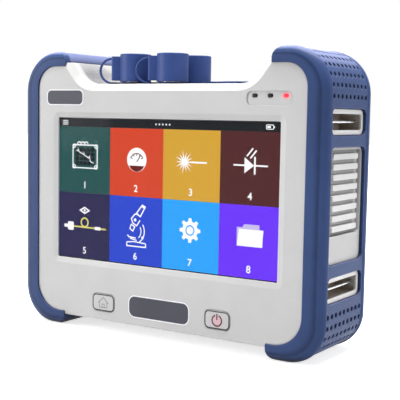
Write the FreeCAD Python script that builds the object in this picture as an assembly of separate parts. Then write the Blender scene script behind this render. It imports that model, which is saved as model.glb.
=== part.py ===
import FreeCAD, Part
import math
import os

# A hand-held optical time domain reflectometer. Millimetres, +Z up, front face towards -Y.
# The origin is the middle of the base, under the centre of the outer box.

V = FreeCAD.Vector

# Outer size, over the rubber bumpers
overall_width = 211.0
overall_depth = 60.0
overall_height = 169.8

# Clearances
fit_gap = 0.15          # between fixed pieces that slip together
run_gap = 0.3           # between pieces that move past each other
pin_gap = 0.05          # radial, round a pin, a screw or a ferrule sleeve

# Rubber bumpers, a left and a right channel
side_rubber = 10.3      # wall outside the housing at the sides
top_rubber = 6.8
bottom_rubber = 7.0
crown_radius = 25.0     # outer corners at the top
crown_low_radius = 22.0
lip_thickness = 3.0     # front and rear lips of the channel
lip_reach = 2.2         # how far the lips come in over the covers
front_strip = 3.0       # flat part of the front lip
front_round = 5.0       # depth of the rounding in front
rear_round = 6.5
panel_recess = 0.5      # the sunk band round the middle of the bumper
panel_front_margin = 5.4
panel_rear_margin = 7.6
bottom_end_setback = 34.0  # from the outer side to where the bumper stops below
top_end_gap = 3.6       # from the port recess to where the bumper stops on top
end_radius = 6.6

# Housing
wall = 2.5
face_setback = 0.8      # the covers' faces lie behind the bumpers' edges
face_wall = 2.6
edge_round = 0.8        # rounding of the covers' outer edges
housing_top_radius = 15.25
housing_bottom_radius = 19.25
front_cover_depth = 21.2  # from the face to where the rear cover begins
seal_size = 1.2
seal_inset = 0.65
seal_stop = 3.0         # the seal ends this far from the strap frames

# Recess across the top for the ports
notch_floor_depth = 19.8
notch_flat_trim = 2.75  # half the flat floor is a quarter of the width, less this
notch_radius = 15.9
notch_slope = math.radians(52.0)
notch_side = 17.9       # width of its curved and sloped end, seen from the front
notch_bevel = 4.1
notch_wall = 3.5

# Display
screen_side_border = 28.45  # from the outer side to the picture
screen_low_border = 43.35   # from the base up to the picture
screen_high_border = 40.55  # from the picture up to the top
screen_margin = 0.4     # black rim of the glass seen in the window
bezel_slope = 3.4
bezel_depth = 0.6
lip_under_bezel = 0.6
glass_border = 4.9
glass_thickness = 0.7
gasket_thickness = 0.4
module_border = 5.0
module_thickness = 5.5
bracket_thickness = 1.0
bracket_inset = 1.05    # sheet frame inside the picture's width, each side
bracket_margin = 9.0    # bracket over the display module, above and below

# Front keys and plates
key_width = 16.3
key_height = 10.5
key_radius = 3.0
key_centre_x = 40.5
key_centre_z = 18.0
key_proud = 0.4
key_travel = 0.8
key_flange = 1.4
key_flange_thickness = 1.0
switch_size = 6.0
switch_height = 1.4
key_board_thickness = 1.6
plate_thickness = 0.5
plate_proud = 0.1
low_plate_width = 41.8
low_plate_height = 10.6
high_plate_width = 27.5
high_plate_height = 7.7
high_plate_inset = 5.15  # its middle inside the picture's edge
high_plate_drop = 27.75  # its middle below the top
status_inset = 6.3      # middle of the lights' field inside the picture's edge
status_drop = 27.9
status_width = 28.6
status_height = 7.7
status_depth = 0.5
light_pitch = 9.4
light_width = 3.3
light_height = 2.0
light_rise = 1.4        # lights above the middle of their field
light_length = 4.0

# Side windows in the bumpers
window_front = 6.0      # from the front of the object
window_rear = 9.5       # from the rear of the object
window_radius = 4.0
plate_sink = 1.9        # from the sunk band down to the grey plates
strap_height = 14.4
strap_end = 39.9        # from the base or the top to the middle of a strap frame
strap_wall = 1.8
strap_pocket_depth = 13.0
strap_flange = 1.3
bar_radius = 0.8
bar_bite = 1.0          # how deep the bar's ends sit in the frame
bar_depth = 3.2         # from the frame's face to the bar's axis
vent_low_z = 53.6
vent_drop = 53.3        # its upper edge below the top
vent_rim = 2.0
slot_pitch = 5.6
slot_height = 2.4
slot_inset = 2.25       # from the window's end to the slot's
slot_first = 7.0        # from the plate's top to the first slot's middle
slot_last = 9.0         # at least this from the last slot's middle to the plate's foot
vent_field_sink = 0.9
slot_depth = 1.7        # of the slots below their field
slot_back = 1.2         # thickness of the wall behind the slots
vent_hole_length = 7.0
vent_hole_height = 1.2
vent_hole_pitch = 9.8

# Optical ports and their rubber caps
port_front_y = -12.0
port_rear_y = 13.0
port_pitch = 27.0       # between the two front ports
loop_room = 13.0        # from the recess floor's left end to the first port, at least
cap_room = 10.0         # from the second port to the service cover, at least
flange_radius = 7.0
flange_thickness = 2.0
nose_radius = 4.4
nose_length = 10.5
nose_bore = 2.7
mouth_depth = 2.0       # from the nose's rim down to the ceramic sleeve
tail_radius = 3.6
tail_length = 3.2
sleeve_outer = 1.6
sleeve_bore = 1.25
sleeve_length = 11.4
cap_radius = 9.4
cap_drop = 1.7          # cap's top below the top of the bumpers
cap_roof = 2.2
cap_skirt = 1.6
ear_reach = 5.0
ear_width = 6.0
ear_turn = 28.0         # degrees, the ears point left and a little forward
ear_base = 0.8          # from the cap's rim up to the ear
ear_drop = 1.5
strap_thickness = 1.2
strap_width = 3.0
strap_drop = 0.6        # from the ear's top down to the strap
strap_loop = 7.6        # how far a strap bows out from its ear
tongue_overlap = 1.5    # of the strap's lower run with its collar
collar_radius = 8.8
collar_thickness = 1.2

# Service port cover on top
flap_width = 32.0
flap_front_y = -3.0
flap_length = 24.0
flap_thickness = 1.7
flap_plug = 2.0
flap_plug_margin = 2.6
flap_radius = 3.0
hinge_bead = 1.5
usb_width = 13.2
usb_depth = 5.8
usb_height = 9.0
jack_size = 9.0
socket_pitch = 15.5
port_board_thickness = 1.6
port_board_depth = 14.0
tab_width = 10.0        # pull tab on the front edge of the cover
tab_reach = 2.2
shell_wall = 0.5        # sheet of the data socket
tongue_thickness = 1.6
tongue_offset = 0.3     # of the contact tongue behind the socket's middle
inlet_radius = 2.8
inlet_pin_radius = 1.0
socket_floor = 1.5

# Stand on the back
stand_width = 108.0
stand_leg = 10.0
stand_low_z = 17.0
stand_hinge_drop = 58.8  # hinge below the top
stand_thickness = 4.0
stand_bar_height = 13.0
stand_radius = 5.0
stand_pin_radius = 1.5
stand_pin_bite = 2.6     # how far a pin reaches into the rear cover
hinge_wall = 4.0
groove_wall = 2.2
finger_width = 24.0
finger_low = 6.5         # finger recess below the folded stand
finger_high = 5.0
finger_depth = 2.5

# Battery bay, pack and door
door_side_gap = 3.0     # from the stand's legs to the door
door_low_gap = 10.0     # from the stand's crossbar up to the door
door_high_gap = 11.0    # from the door up to the stand's hinge
door_thickness = 2.0
door_ledge = 3.0
screw_ledge = 8.0       # wider ledge above the bay, for the screws
door_screw_inset = 8.0
bay_gap = 0.9           # from the optical unit to the bay's wall
pack_gap = 0.5
door_screw_radius = 1.25
door_screw_head = 2.4
door_screw_sink = 1.2   # from the door's outside down to the screw's seat
door_head_height = 1.1
door_screw_length = 6.0
driver_slot = 0.7
driver_depth = 0.6
grip_width = 26.0       # ribs to push the door with
grip_height = 1.4
grip_pitch = 3.0
grip_count = 4
grip_depth = 0.6
grip_low = 8.0          # first rib above the door's lower edge

# Housing screws
screw_radius = 1.5
screw_head_radius = 2.7
screw_head_height = 2.4
boss_radius = 3.5
screw_corner_inset = 11.2  # from the housing's side
screw_side_inset = 8.7
screw_low_z = 20.0
screw_high_drop = 22.3
screw_bite = 10.0
seat_depth = 5.0        # from the back face down to the screws' heads
cross_width = 0.8       # driver cross
cross_depth = 1.2
join = 0.5              # overlap of shapes that are fused

# Electronics
board_thickness = 1.6
board_inset = 9.05      # inside the picture's width, each side
board_low_z = 40.0
board_high_drop = 33.8
post_inset = 6.0        # board's posts from its edges
standoff_height = 4.8
standoff_radius = 2.5
small_screw_radius = 1.0
small_head_radius = 2.0
small_head_height = 1.2
small_screw_length = 4.5
key_screw_length = 3.0
key_screw_gap = 5.0     # from a key's side to its board's screw
key_board_end = 9.0     # from a key's side to the end of its board
key_board_margin = 1.0  # board beyond the keys' height, above and below
shield_width = 34.0     # parts soldered on the main board
shield_height = 28.0
shield_rise = 3.2
memory_width = 12.0
memory_height = 10.0
memory_rise = 1.2
link_width = 24.0
link_height = 5.0
link_rise = 3.0
optical_left_inset = 13.0  # from the board's left edge
optical_right_gap = 4.0    # to the spool
optical_low_z = 58.0
optical_high_gap = 2.0     # below the board's upper edge
optical_thickness = 15.0
spool_drop = 26.0       # middle of the spool below the board's upper edge
spool_radius = 14.5
spool_hub = 8.5
spool_thickness = 7.0
pigtail_radius = 0.9
pigtail_bend = 5.0
pigtail_drop = 8.0      # bent fibre's lower run below the unit's top
fin_pitch = 8.0         # grooves of the optical unit
fin_groove = 3.0
fin_depth = 3.0
fin_start = 6.0
fin_end = 24.0
spool_cheek = 1.2
spool_groove = 1.6

# Places worked out from the sizes above
front_y = -overall_depth / 2.0
rear_y = overall_depth / 2.0
face_y = front_y + face_setback
back_face_y = rear_y - face_setback
face_inner_y = face_y + face_wall
back_inner_y = back_face_y - face_wall
shoulder_y = front_y + lip_thickness
rear_shoulder_y = rear_y - lip_thickness
housing_half = overall_width / 2.0 - side_rubber
housing_low = bottom_rubber
housing_high = overall_height - top_rubber
parting_y = face_y + front_cover_depth
notch_flat = overall_width / 4.0 - notch_flat_trim
top_end = notch_flat + notch_side + top_end_gap
bottom_end = overall_width / 2.0 - bottom_end_setback
screen_width = overall_width - 2.0 * screen_side_border
screen_height = overall_height - screen_low_border - screen_high_border
screen_centre_z = screen_low_border + screen_height / 2.0
high_plate_x = high_plate_inset - screen_width / 2.0
high_plate_z = overall_height - high_plate_drop
status_x = screen_width / 2.0 - status_inset
status_z = overall_height - status_drop
light_z = status_z + light_rise
strap_low_z = strap_end
strap_high_z = overall_height - strap_end
vent_high_z = overall_height - vent_drop
screw_corner_x = housing_half - screw_corner_inset
screw_side_x = housing_half - screw_side_inset
screw_side_z = overall_height / 2.0
screw_high_z = overall_height - screw_high_drop
notch_floor = overall_height - notch_floor_depth
panel_x = overall_width / 2.0 - panel_recess
plate_face_x = panel_x - plate_sink
window_y0 = front_y + window_front
window_y1 = rear_y - window_rear
slot_length = window_y1 - window_y0 - 2.0 * slot_inset
slot_count = 1 + int((vent_high_z - vent_low_z - slot_first - slot_last) / slot_pitch)
module_y = face_y + bezel_depth + lip_under_bezel + gasket_thickness + glass_thickness
module_back_y = module_y + module_thickness
bracket_back_y = module_back_y + bracket_thickness
board_y = bracket_back_y + standoff_height
board_back_y = board_y + board_thickness
optical_y = board_back_y + run_gap
bracket_width = screen_width - 2.0 * bracket_inset
board_width = screen_width - 2.0 * board_inset
board_high_z = overall_height - board_high_drop
standoff_x = board_width / 2.0 - post_inset
spool_x = board_width / 2.0 - spool_radius
spool_z = board_high_z - spool_drop
optical_left = optical_left_inset - board_width / 2.0
optical_right = spool_x - spool_radius - optical_right_gap
optical_high_z = board_high_z - optical_high_gap
bay_y = optical_y + optical_thickness + bay_gap + wall
stand_hinge_z = overall_height - stand_hinge_drop
door_width = stand_width - 2.0 * (stand_leg + door_side_gap)
door_low_z = stand_low_z + stand_bar_height + door_low_gap
door_height = stand_hinge_z - door_high_gap - door_low_z
door_centre_z = door_low_z + door_height / 2.0
cap_top_z = overall_height - cap_drop
recess_room = 2.0 * notch_flat - loop_room - port_pitch - cap_room - flap_width
port_left_x = loop_room + recess_room / 3.0 - notch_flat
port_right_x = port_left_x + port_pitch
flap_x = port_right_x + cap_room + recess_room / 2.0 + flap_width / 2.0
ports = (
    (port_left_x, port_front_y),
    (port_right_x, port_front_y),
    (port_right_x, port_rear_y),
)


def outline(half_width, low, high, low_radius, high_radius, y):
    """Closed front-view outline with round corners, as a wire in the plane of the given y."""
    s = math.sqrt(0.5)

    def arc(cx, cz, r, start, middle, end):
        return Part.Arc(
            V(cx + r * start[0], y, cz + r * start[1]),
            V(cx + r * middle[0], y, cz + r * middle[1]),
            V(cx + r * end[0], y, cz + r * end[1]),
        ).toShape()

    right_low = half_width - low_radius
    right_high = half_width - high_radius
    low_z = low + low_radius
    high_z = high - high_radius
    edges = [
        Part.makeLine(V(-right_low, y, low), V(right_low, y, low)),
        arc(right_low, low_z, low_radius, (0, -1), (s, -s), (1, 0)),
        Part.makeLine(V(half_width, y, low_z), V(half_width, y, high_z)),
        arc(right_high, high_z, high_radius, (1, 0), (s, s), (0, 1)),
        Part.makeLine(V(right_high, y, high), V(-right_high, y, high)),
        arc(-right_high, high_z, high_radius, (0, 1), (-s, s), (-1, 0)),
        Part.makeLine(V(-half_width, y, high_z), V(-half_width, y, low_z)),
        arc(-right_low, low_z, low_radius, (-1, 0), (-s, -s), (0, -1)),
    ]
    return Part.Wire(edges)


def housing_outline(inset, y):
    """Outline of the housing, made smaller by the inset."""
    return outline(
        housing_half - inset,
        housing_low + inset,
        housing_high - inset,
        housing_bottom_radius - inset,
        housing_top_radius - inset,
        y,
    )


def crown_outline(inset, y):
    """Outline over the bumpers' outer faces, made smaller by the inset."""
    return outline(
        overall_width / 2.0 - inset,
        inset,
        overall_height - inset,
        crown_low_radius - inset,
        crown_radius - inset,
        y,
    )


def between_outline(share, y):
    """Outline between the flat front strip (share 0) and the crown (share 1)."""
    inset = lip_reach - front_strip
    start = (
        housing_half - inset,
        housing_low + inset,
        housing_high - inset,
        housing_bottom_radius - inset,
        housing_top_radius - inset,
    )
    end = (overall_width / 2.0, 0.0, overall_height, crown_low_radius, crown_radius)
    mixed = [a + share * (b - a) for a, b in zip(start, end)]
    return outline(mixed[0], mixed[1], mixed[2], mixed[3], mixed[4], y)


def prism(wire, end_y):
    """Solid from a wire to the plane of end_y."""
    depth = end_y - wire.BoundBox.YMin
    return Part.Face(wire).extrude(V(0, depth, 0))


def notch_outline(grow, y):
    """Outline of the recess across the top, made larger by grow."""
    centre_z = notch_floor + notch_radius
    r = notch_radius + grow
    floor_z = centre_z - r
    side = math.sin(notch_slope)
    drop = math.cos(notch_slope)
    half = notch_slope / 2.0
    end_x = notch_flat + r * side
    end_z = centre_z - r * drop
    top_z = overall_height + 5.0
    top_x = end_x + (top_z - end_z) / math.tan(notch_slope)
    mid_x = notch_flat + r * math.sin(half)
    mid_z = centre_z - r * math.cos(half)
    edges = [
        Part.makeLine(V(-notch_flat, y, floor_z), V(notch_flat, y, floor_z)),
        Part.Arc(V(notch_flat, y, floor_z), V(mid_x, y, mid_z), V(end_x, y, end_z)).toShape(),
        Part.makeLine(V(end_x, y, end_z), V(top_x, y, top_z)),
        Part.makeLine(V(top_x, y, top_z), V(-top_x, y, top_z)),
        Part.makeLine(V(-top_x, y, top_z), V(-end_x, y, end_z)),
        Part.Arc(V(-end_x, y, end_z), V(-mid_x, y, mid_z), V(-notch_flat, y, floor_z)).toShape(),
    ]
    return Part.Wire(edges)


def block(x, y, z):
    """Plain block between pairs of limits."""
    return Part.makeBox(x[1] - x[0], y[1] - y[0], z[1] - z[0], V(x[0], y[0], z[0]))


def rounded_block(x, y, z, along, radius):
    """Block whose edges along one axis are rounded."""
    solid = block(x, y, z)
    edges = []
    for edge in solid.Edges:
        direction = edge.tangentAt(edge.FirstParameter)
        if abs(direction.dot(along)) > 0.99:
            edges.append(edge)
    return solid.makeFillet(radius, edges)


def bevelled_opening(x, z, y, slope, depth, radius):
    """Cutter that tapers from a wide outline at y to x by z at y + depth."""
    width = (x[1] - x[0]) / 2.0
    height = (z[1] - z[0]) / 2.0
    middle = V((x[0] + x[1]) / 2.0, 0, (z[0] + z[1]) / 2.0)
    wide = outline(width + slope, -height - slope, height + slope, radius + slope, radius + slope, y)
    narrow = outline(width, -height, height, radius, radius, y + depth)
    cutter = Part.makeLoft([wide, narrow], True, True)
    cutter.translate(middle)
    return cutter


def centred(middle, size):
    """Pair of limits about a middle."""
    return (middle - size / 2.0, middle + size / 2.0)


def rod(radius, start, direction, length):
    return Part.makeCylinder(radius, length, start, direction)


def mirrored(shape):
    return shape.mirror(V(0, 0, 0), V(1, 0, 0))


def screw_places():
    """The six housing screws, seen from the front."""
    places = []
    for side in (-1, 1):
        places.append((side * screw_corner_x, screw_low_z))
        places.append((side * screw_side_x, screw_side_z))
        places.append((side * screw_corner_x, screw_high_z))
    return places


def bracket_places():
    """The four small screws that hold the display bracket."""
    low = screen_centre_z - module_height() / 2.0 - bracket_margin / 2.0
    high = screen_centre_z + module_height() / 2.0 + bracket_margin / 2.0
    x = bracket_width / 2.0 - bracket_margin / 2.0
    return [(-x, low), (x, low), (-x, high), (x, high)]


def module_width():
    return screen_width + 2.0 * module_border


def module_height():
    return screen_height + 2.0 * module_border


def strap_opening(grow):
    """Holes through the right side wall for the two strap frames."""
    shapes = []
    for z in (strap_low_z, strap_high_z):
        shapes.append(rounded_block(
            (housing_half - wall - 3.0, housing_half + 1.0),
            (window_y0 + fit_gap - grow, window_y1 - fit_gap + grow),
            centred(z, strap_height - 2.0 * fit_gap + 2.0 * grow),
            V(1, 0, 0),
            window_radius - fit_gap + grow,
        ))
    return shapes


def slot_middles():
    """Heights of the louvre slots, from the top down."""
    return [vent_high_z - slot_first - i * slot_pitch for i in range(slot_count)]


def vent_opening():
    """Hole through the right side wall behind the louvres."""
    heights = slot_middles()
    return rounded_block(
        (housing_half - wall - 1.0, housing_half + 1.0),
        centred((window_y0 + window_y1) / 2.0, slot_length),
        (heights[-1] - slot_height, heights[0] + slot_height),
        V(1, 0, 0),
        2.0,
    )


def with_mirror(shapes):
    return shapes + [mirrored(shape) for shape in shapes]


def bumper_blank():
    """Both bumpers as one full ring, before the ends and windows are cut."""
    front_wires = []
    for degrees in (0, 30, 60, 90):
        turn = math.radians(degrees)
        front_wires.append(between_outline(
            math.sin(turn), front_y + front_round * (1.0 - math.cos(turn))))
    front = Part.makeLoft(front_wires, True, False)
    rear_wires = []
    for degrees in (0, 30, 60, 90):
        turn = math.radians(degrees)
        rear_wires.append(crown_outline(
            rear_round * (1.0 - math.cos(turn)), rear_y - rear_round * (1.0 - math.sin(turn))))
    rear = Part.makeLoft(rear_wires, True, False)
    middle = prism(crown_outline(0.0, front_y + front_round), rear_y - rear_round)
    return front.fuse([middle, rear])


def panel_band():
    """Ring that sinks the middle of the bumper, with sloped sides."""
    y0 = front_y + panel_front_margin
    y1 = rear_y - panel_rear_margin
    d = panel_recess
    core = Part.makeLoft([
        crown_outline(0.0, y0 - d / 2.0),
        crown_outline(d, y0 + d / 2.0),
        crown_outline(d, y1 - d / 2.0),
        crown_outline(0.0, y1 + d / 2.0),
    ], True, True)
    ring = prism(crown_outline(-2.0, y0 - d / 2.0), y1 + d / 2.0)
    return ring.cut(core)


def bumper_end_cutter(shift):
    """Everything left of the right bumper's two round ends, moved left by the shift."""
    s = math.sqrt(0.5)
    r = end_radius
    high = overall_height
    y = front_y - 1.0
    middle_z = overall_height / 2.0
    far = -overall_width
    top_x = top_end - shift
    low_x = bottom_end - shift
    top = [
        Part.makeLine(V(far, y, middle_z), V(top_x, y, middle_z)),
        Part.makeLine(V(top_x, y, middle_z), V(top_x, y, high - r)),
        Part.Arc(V(top_x, y, high - r), V(top_x + r - r * s, y, high - r + r * s),
                 V(top_x + r, y, high)).toShape(),
        Part.makeLine(V(top_x + r, y, high), V(top_x + r, y, high + r)),
        Part.makeLine(V(top_x + r, y, high + r), V(far, y, high + r)),
        Part.makeLine(V(far, y, high + r), V(far, y, middle_z)),
    ]
    bottom = [
        Part.makeLine(V(far, y, middle_z), V(low_x, y, middle_z)),
        Part.makeLine(V(low_x, y, middle_z), V(low_x, y, r)),
        Part.Arc(V(low_x, y, r), V(low_x + r - r * s, y, r - r * s),
                 V(low_x + r, y, 0)).toShape(),
        Part.makeLine(V(low_x + r, y, 0), V(low_x + r, y, -r)),
        Part.makeLine(V(low_x + r, y, -r), V(far, y, -r)),
        Part.makeLine(V(far, y, -r), V(far, y, middle_z)),
    ]
    cutters = [prism(Part.Wire(top), rear_y + 1.0), prism(Part.Wire(bottom), rear_y + 1.0)]
    return cutters


def right_bumper():
    """Soft rubber channel that wraps the right side, with windows for the grey plates."""
    body = bumper_blank().cut(panel_band())
    cavity = prism(
        housing_outline(-fit_gap, shoulder_y - fit_gap), rear_shoulder_y + fit_gap)
    front_hole = prism(housing_outline(lip_reach - fit_gap, front_y - 1.0), shoulder_y)
    rear_hole = prism(housing_outline(lip_reach - fit_gap, rear_shoulder_y), rear_y + 1.0)
    windows = []
    for low, high in side_windows():
        windows.append(rounded_block(
            (housing_half - 1.0, overall_width), (window_y0, window_y1), (low, high),
            V(1, 0, 0), window_radius))
    return body.cut([cavity, front_hole, rear_hole] + bumper_end_cutter(0.0) + windows)


def lip_rebate(y0, y1):
    """Steps round both sides of the housing, where the bumpers' lips lie."""
    ring = prism(housing_outline(-1.0, y0), y1).cut(prism(housing_outline(lip_reach, y0 - 1.0), y1 + 1.0))
    right = ring.cut(bumper_end_cutter(fit_gap))
    return [right, mirrored(right)]


def rounded_shell(y0, y1, edge_y):
    """Block of the housing's outline with its outer edge rounded at one end."""
    body = prism(housing_outline(0.0, y0), y1)
    rim = [e for e in body.Edges if abs(e.BoundBox.YMin - edge_y) < 1e-6
           and abs(e.BoundBox.YMax - edge_y) < 1e-6]
    return body.makeFillet(edge_round, rim)


def side_windows():
    """Heights of the three windows in a bumper."""
    half = strap_height / 2.0
    return [
        (strap_low_z - half, strap_low_z + half),
        (vent_low_z, vent_high_z),
        (strap_high_z - half, strap_high_z + half),
    ]


def strap_frame(z):
    """Cup of hard plastic let into the right side, with a pocket for a strap."""
    y = (window_y0 + 2.0 * fit_gap, window_y1 - 2.0 * fit_gap)
    height = strap_height - 4.0 * fit_gap
    bottom_x = plate_face_x - strap_pocket_depth - strap_wall
    radius = window_radius - 2.0 * fit_gap
    cup = rounded_block((bottom_x, plate_face_x), y, centred(z, height), V(1, 0, 0), radius)
    flange_x = housing_half - wall - fit_gap
    flange = rounded_block(
        (flange_x - strap_wall, flange_x),
        (y[0] - strap_flange, y[1] + strap_flange),
        centred(z, height + 2.0 * strap_flange),
        V(1, 0, 0), radius)
    pocket = rounded_block(
        (plate_face_x - strap_pocket_depth, plate_face_x + 1.0),
        (y[0] + strap_wall, y[1] - strap_wall),
        centred(z, height - 2.0 * strap_wall),
        V(1, 0, 0), radius - strap_wall)
    bar = rod(bar_radius + pin_gap, V(plate_face_x - bar_depth, y[0] + strap_wall - bar_bite - pin_gap, z),
              V(0, 1, 0), y[1] - y[0] - 2.0 * (strap_wall - bar_bite - pin_gap))
    return cup.fuse(flange).cut([pocket, bar])


def strap_bar(z):
    """Steel rod across the mouth of a strap frame."""
    y0 = window_y0 + 2.0 * fit_gap + strap_wall - bar_bite
    y1 = window_y1 - 2.0 * fit_gap - strap_wall + bar_bite
    return rod(bar_radius, V(plate_face_x - bar_depth, y0, z), V(0, 1, 0), y1 - y0)


def vent_plate():
    """Louvred plate in the right bumper's middle window, with air holes in the floor of its slots."""
    y = (window_y0 + fit_gap, window_y1 - fit_gap)
    z = (vent_low_z + fit_gap, vent_high_z - fit_gap)
    x0 = housing_half + fit_gap
    body = rounded_block((x0, plate_face_x), y, z, V(1, 0, 0), window_radius - fit_gap)
    heights = slot_middles()
    middle_y = (y[0] + y[1]) / 2.0
    field = rounded_block(
        (plate_face_x - vent_field_sink, plate_face_x + 1.0),
        (y[0] + vent_rim, y[1] - vent_rim),
        (heights[-1] - slot_pitch / 2.0, z[1] - vent_rim),
        V(1, 0, 0), window_radius - vent_rim)
    slot_floor_x = plate_face_x - vent_field_sink - slot_depth
    hollow = block(
        (x0 - 1.0, slot_floor_x - slot_back),
        centred(middle_y, slot_length),
        (heights[-1] - slot_height, heights[0] + slot_height))
    cutters = [field, hollow]
    hole_count = int(slot_length / vent_hole_pitch)
    for height in heights:
        cutters.append(block((slot_floor_x, plate_face_x + 1.0), centred(middle_y, slot_length),
                             centred(height, slot_height)))
        for i in range(hole_count):
            hole_y = middle_y + (i - (hole_count - 1) / 2.0) * vent_hole_pitch
            cutters.append(block((x0 - 1.0, plate_face_x), centred(hole_y, vent_hole_length),
                                 centred(height, vent_hole_height)))
    body = body.cut(cutters)
    ribs = []
    for i in range(slot_count - 1):
        z_mid = heights[i] - slot_pitch / 2.0
        ribs.append(block(
            (plate_face_x - vent_field_sink - 0.5, plate_face_x - 0.1),
            centred(middle_y, slot_length - 2.0),
            centred(z_mid, slot_pitch - slot_height - 0.3)))
    return body.fuse(ribs)


def front_openings():
    """Every cut through or into the face of the front cover."""
    half_w = screen_width / 2.0 + screen_margin
    half_h = screen_height / 2.0 + screen_margin
    x = (-half_w, half_w)
    z = (screen_centre_z - half_h, screen_centre_z + half_h)
    cutters = [
        bevelled_opening(x, z, face_y, bezel_slope, bezel_depth, 1.0),
        rounded_block(x, (face_y + bezel_depth - 0.1, face_inner_y + 1.0), z, V(0, 1, 0), 1.0),
        rounded_block(
            (x[0] - glass_border - fit_gap, x[1] + glass_border + fit_gap),
            (face_y + bezel_depth + lip_under_bezel, face_inner_y + 1.0),
            (z[0] - glass_border - fit_gap, z[1] + glass_border + fit_gap),
            V(0, 1, 0), 2.0),
        rounded_block(
            centred(status_x, status_width), (face_y - 1.0, face_y + status_depth),
            centred(status_z, status_height), V(0, 1, 0), 3.0),
        rounded_block(
            centred(high_plate_x, high_plate_width + 2.0 * fit_gap),
            (face_y - 1.0, face_y + plate_thickness - plate_proud),
            centred(high_plate_z, high_plate_height + 2.0 * fit_gap), V(0, 1, 0), 3.0),
        rounded_block(
            centred(0.0, low_plate_width + 2.0 * fit_gap),
            (face_y - 1.0, face_y + plate_thickness - plate_proud),
            centred(key_centre_z, low_plate_height + 2.0 * fit_gap), V(0, 1, 0), 3.5),
    ]
    for side in (-1, 1):
        cutters.append(rounded_block(
            centred(side * key_centre_x, key_width + 2.0 * run_gap),
            (face_y - 1.0, face_inner_y + 1.0),
            centred(key_centre_z, key_height + 2.0 * run_gap), V(0, 1, 0), key_radius + run_gap))
    for light in light_solids(fit_gap):
        cutters.append(light)
    return cutters


def light_solids(grow):
    """Three oval light pipes of the status lights."""
    shapes = []
    for i in (-1, 0, 1):
        width = light_width + 2.0 * grow
        height = light_height + 2.0 * grow
        shapes.append(rounded_block(
            centred(status_x + i * light_pitch, width),
            (face_y + status_depth - 0.2 - grow, face_y + status_depth - 0.2 + light_length + grow),
            centred(light_z, height), V(0, 1, 0), height / 2.0 - 0.01))
    return shapes


def front_cover():
    """Front half of the moulded housing, open at the back."""
    shell = rounded_shell(face_y, parting_y, face_y)
    inner = prism(housing_outline(wall, face_inner_y), parting_y + 1.0)
    inner = inner.cut(prism(notch_outline(notch_wall, face_inner_y - 1.0), parting_y + 2.0))
    body = shell.cut(lip_rebate(face_y - 1.0, shoulder_y) + [inner])
    bosses = []
    holes = []
    for x, z in screw_places():
        bosses.append(rod(boss_radius, V(x, face_inner_y - join, z), V(0, 1, 0),
                          parting_y - face_inner_y + join))
        holes.append(rod(screw_radius + pin_gap, V(x, parting_y - screw_bite - 1.0, z), V(0, 1, 0),
                         screw_bite + 2.0))
    for x, z in bracket_places():
        bosses.append(rod(standoff_radius, V(x, face_inner_y - join, z), V(0, 1, 0),
                          module_back_y - face_inner_y + join))
        holes.append(rod(small_screw_radius + pin_gap, V(x, module_back_y - 4.0, z), V(0, 1, 0), 5.0))
    for side in (-1, 1):
        for dx in (-1, 1):
            x = side * key_centre_x + dx * (key_width / 2.0 + key_screw_gap)
            bosses.append(rod(standoff_radius, V(x, face_inner_y - join, key_centre_z), V(0, 1, 0),
                              key_board_y() - face_inner_y + join))
            holes.append(rod(small_screw_radius + pin_gap, V(x, key_board_y() - 2.0, key_centre_z),
                             V(0, 1, 0), 3.0))
    body = body.fuse(bosses)
    bevel = Part.makeLoft([
        notch_outline(notch_bevel + 1.0, face_y - 1.0),
        notch_outline(0.0, face_y + notch_bevel),
    ], True, True)
    cutters = [bevel, prism(notch_outline(0.0, face_y + notch_bevel - 0.5), parting_y + 1.0)]
    cutters += front_openings() + holes
    cutters += with_mirror(strap_opening(0.0)) + with_mirror([vent_opening()])
    cutters += adapter_holes()
    return body.cut(cutters)


def key_board_y():
    """Front face of the board behind the keys."""
    return face_inner_y + run_gap + key_flange_thickness + key_travel + switch_height


def adapter_holes():
    """Round holes in the recess floor for the tails of the optical ports."""
    shapes = []
    for x, y in ports:
        shapes.append(rod(tail_radius + fit_gap, V(x, y, notch_floor - notch_wall - 1.0),
                          V(0, 0, 1), notch_wall + 2.0))
    return shapes


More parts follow.
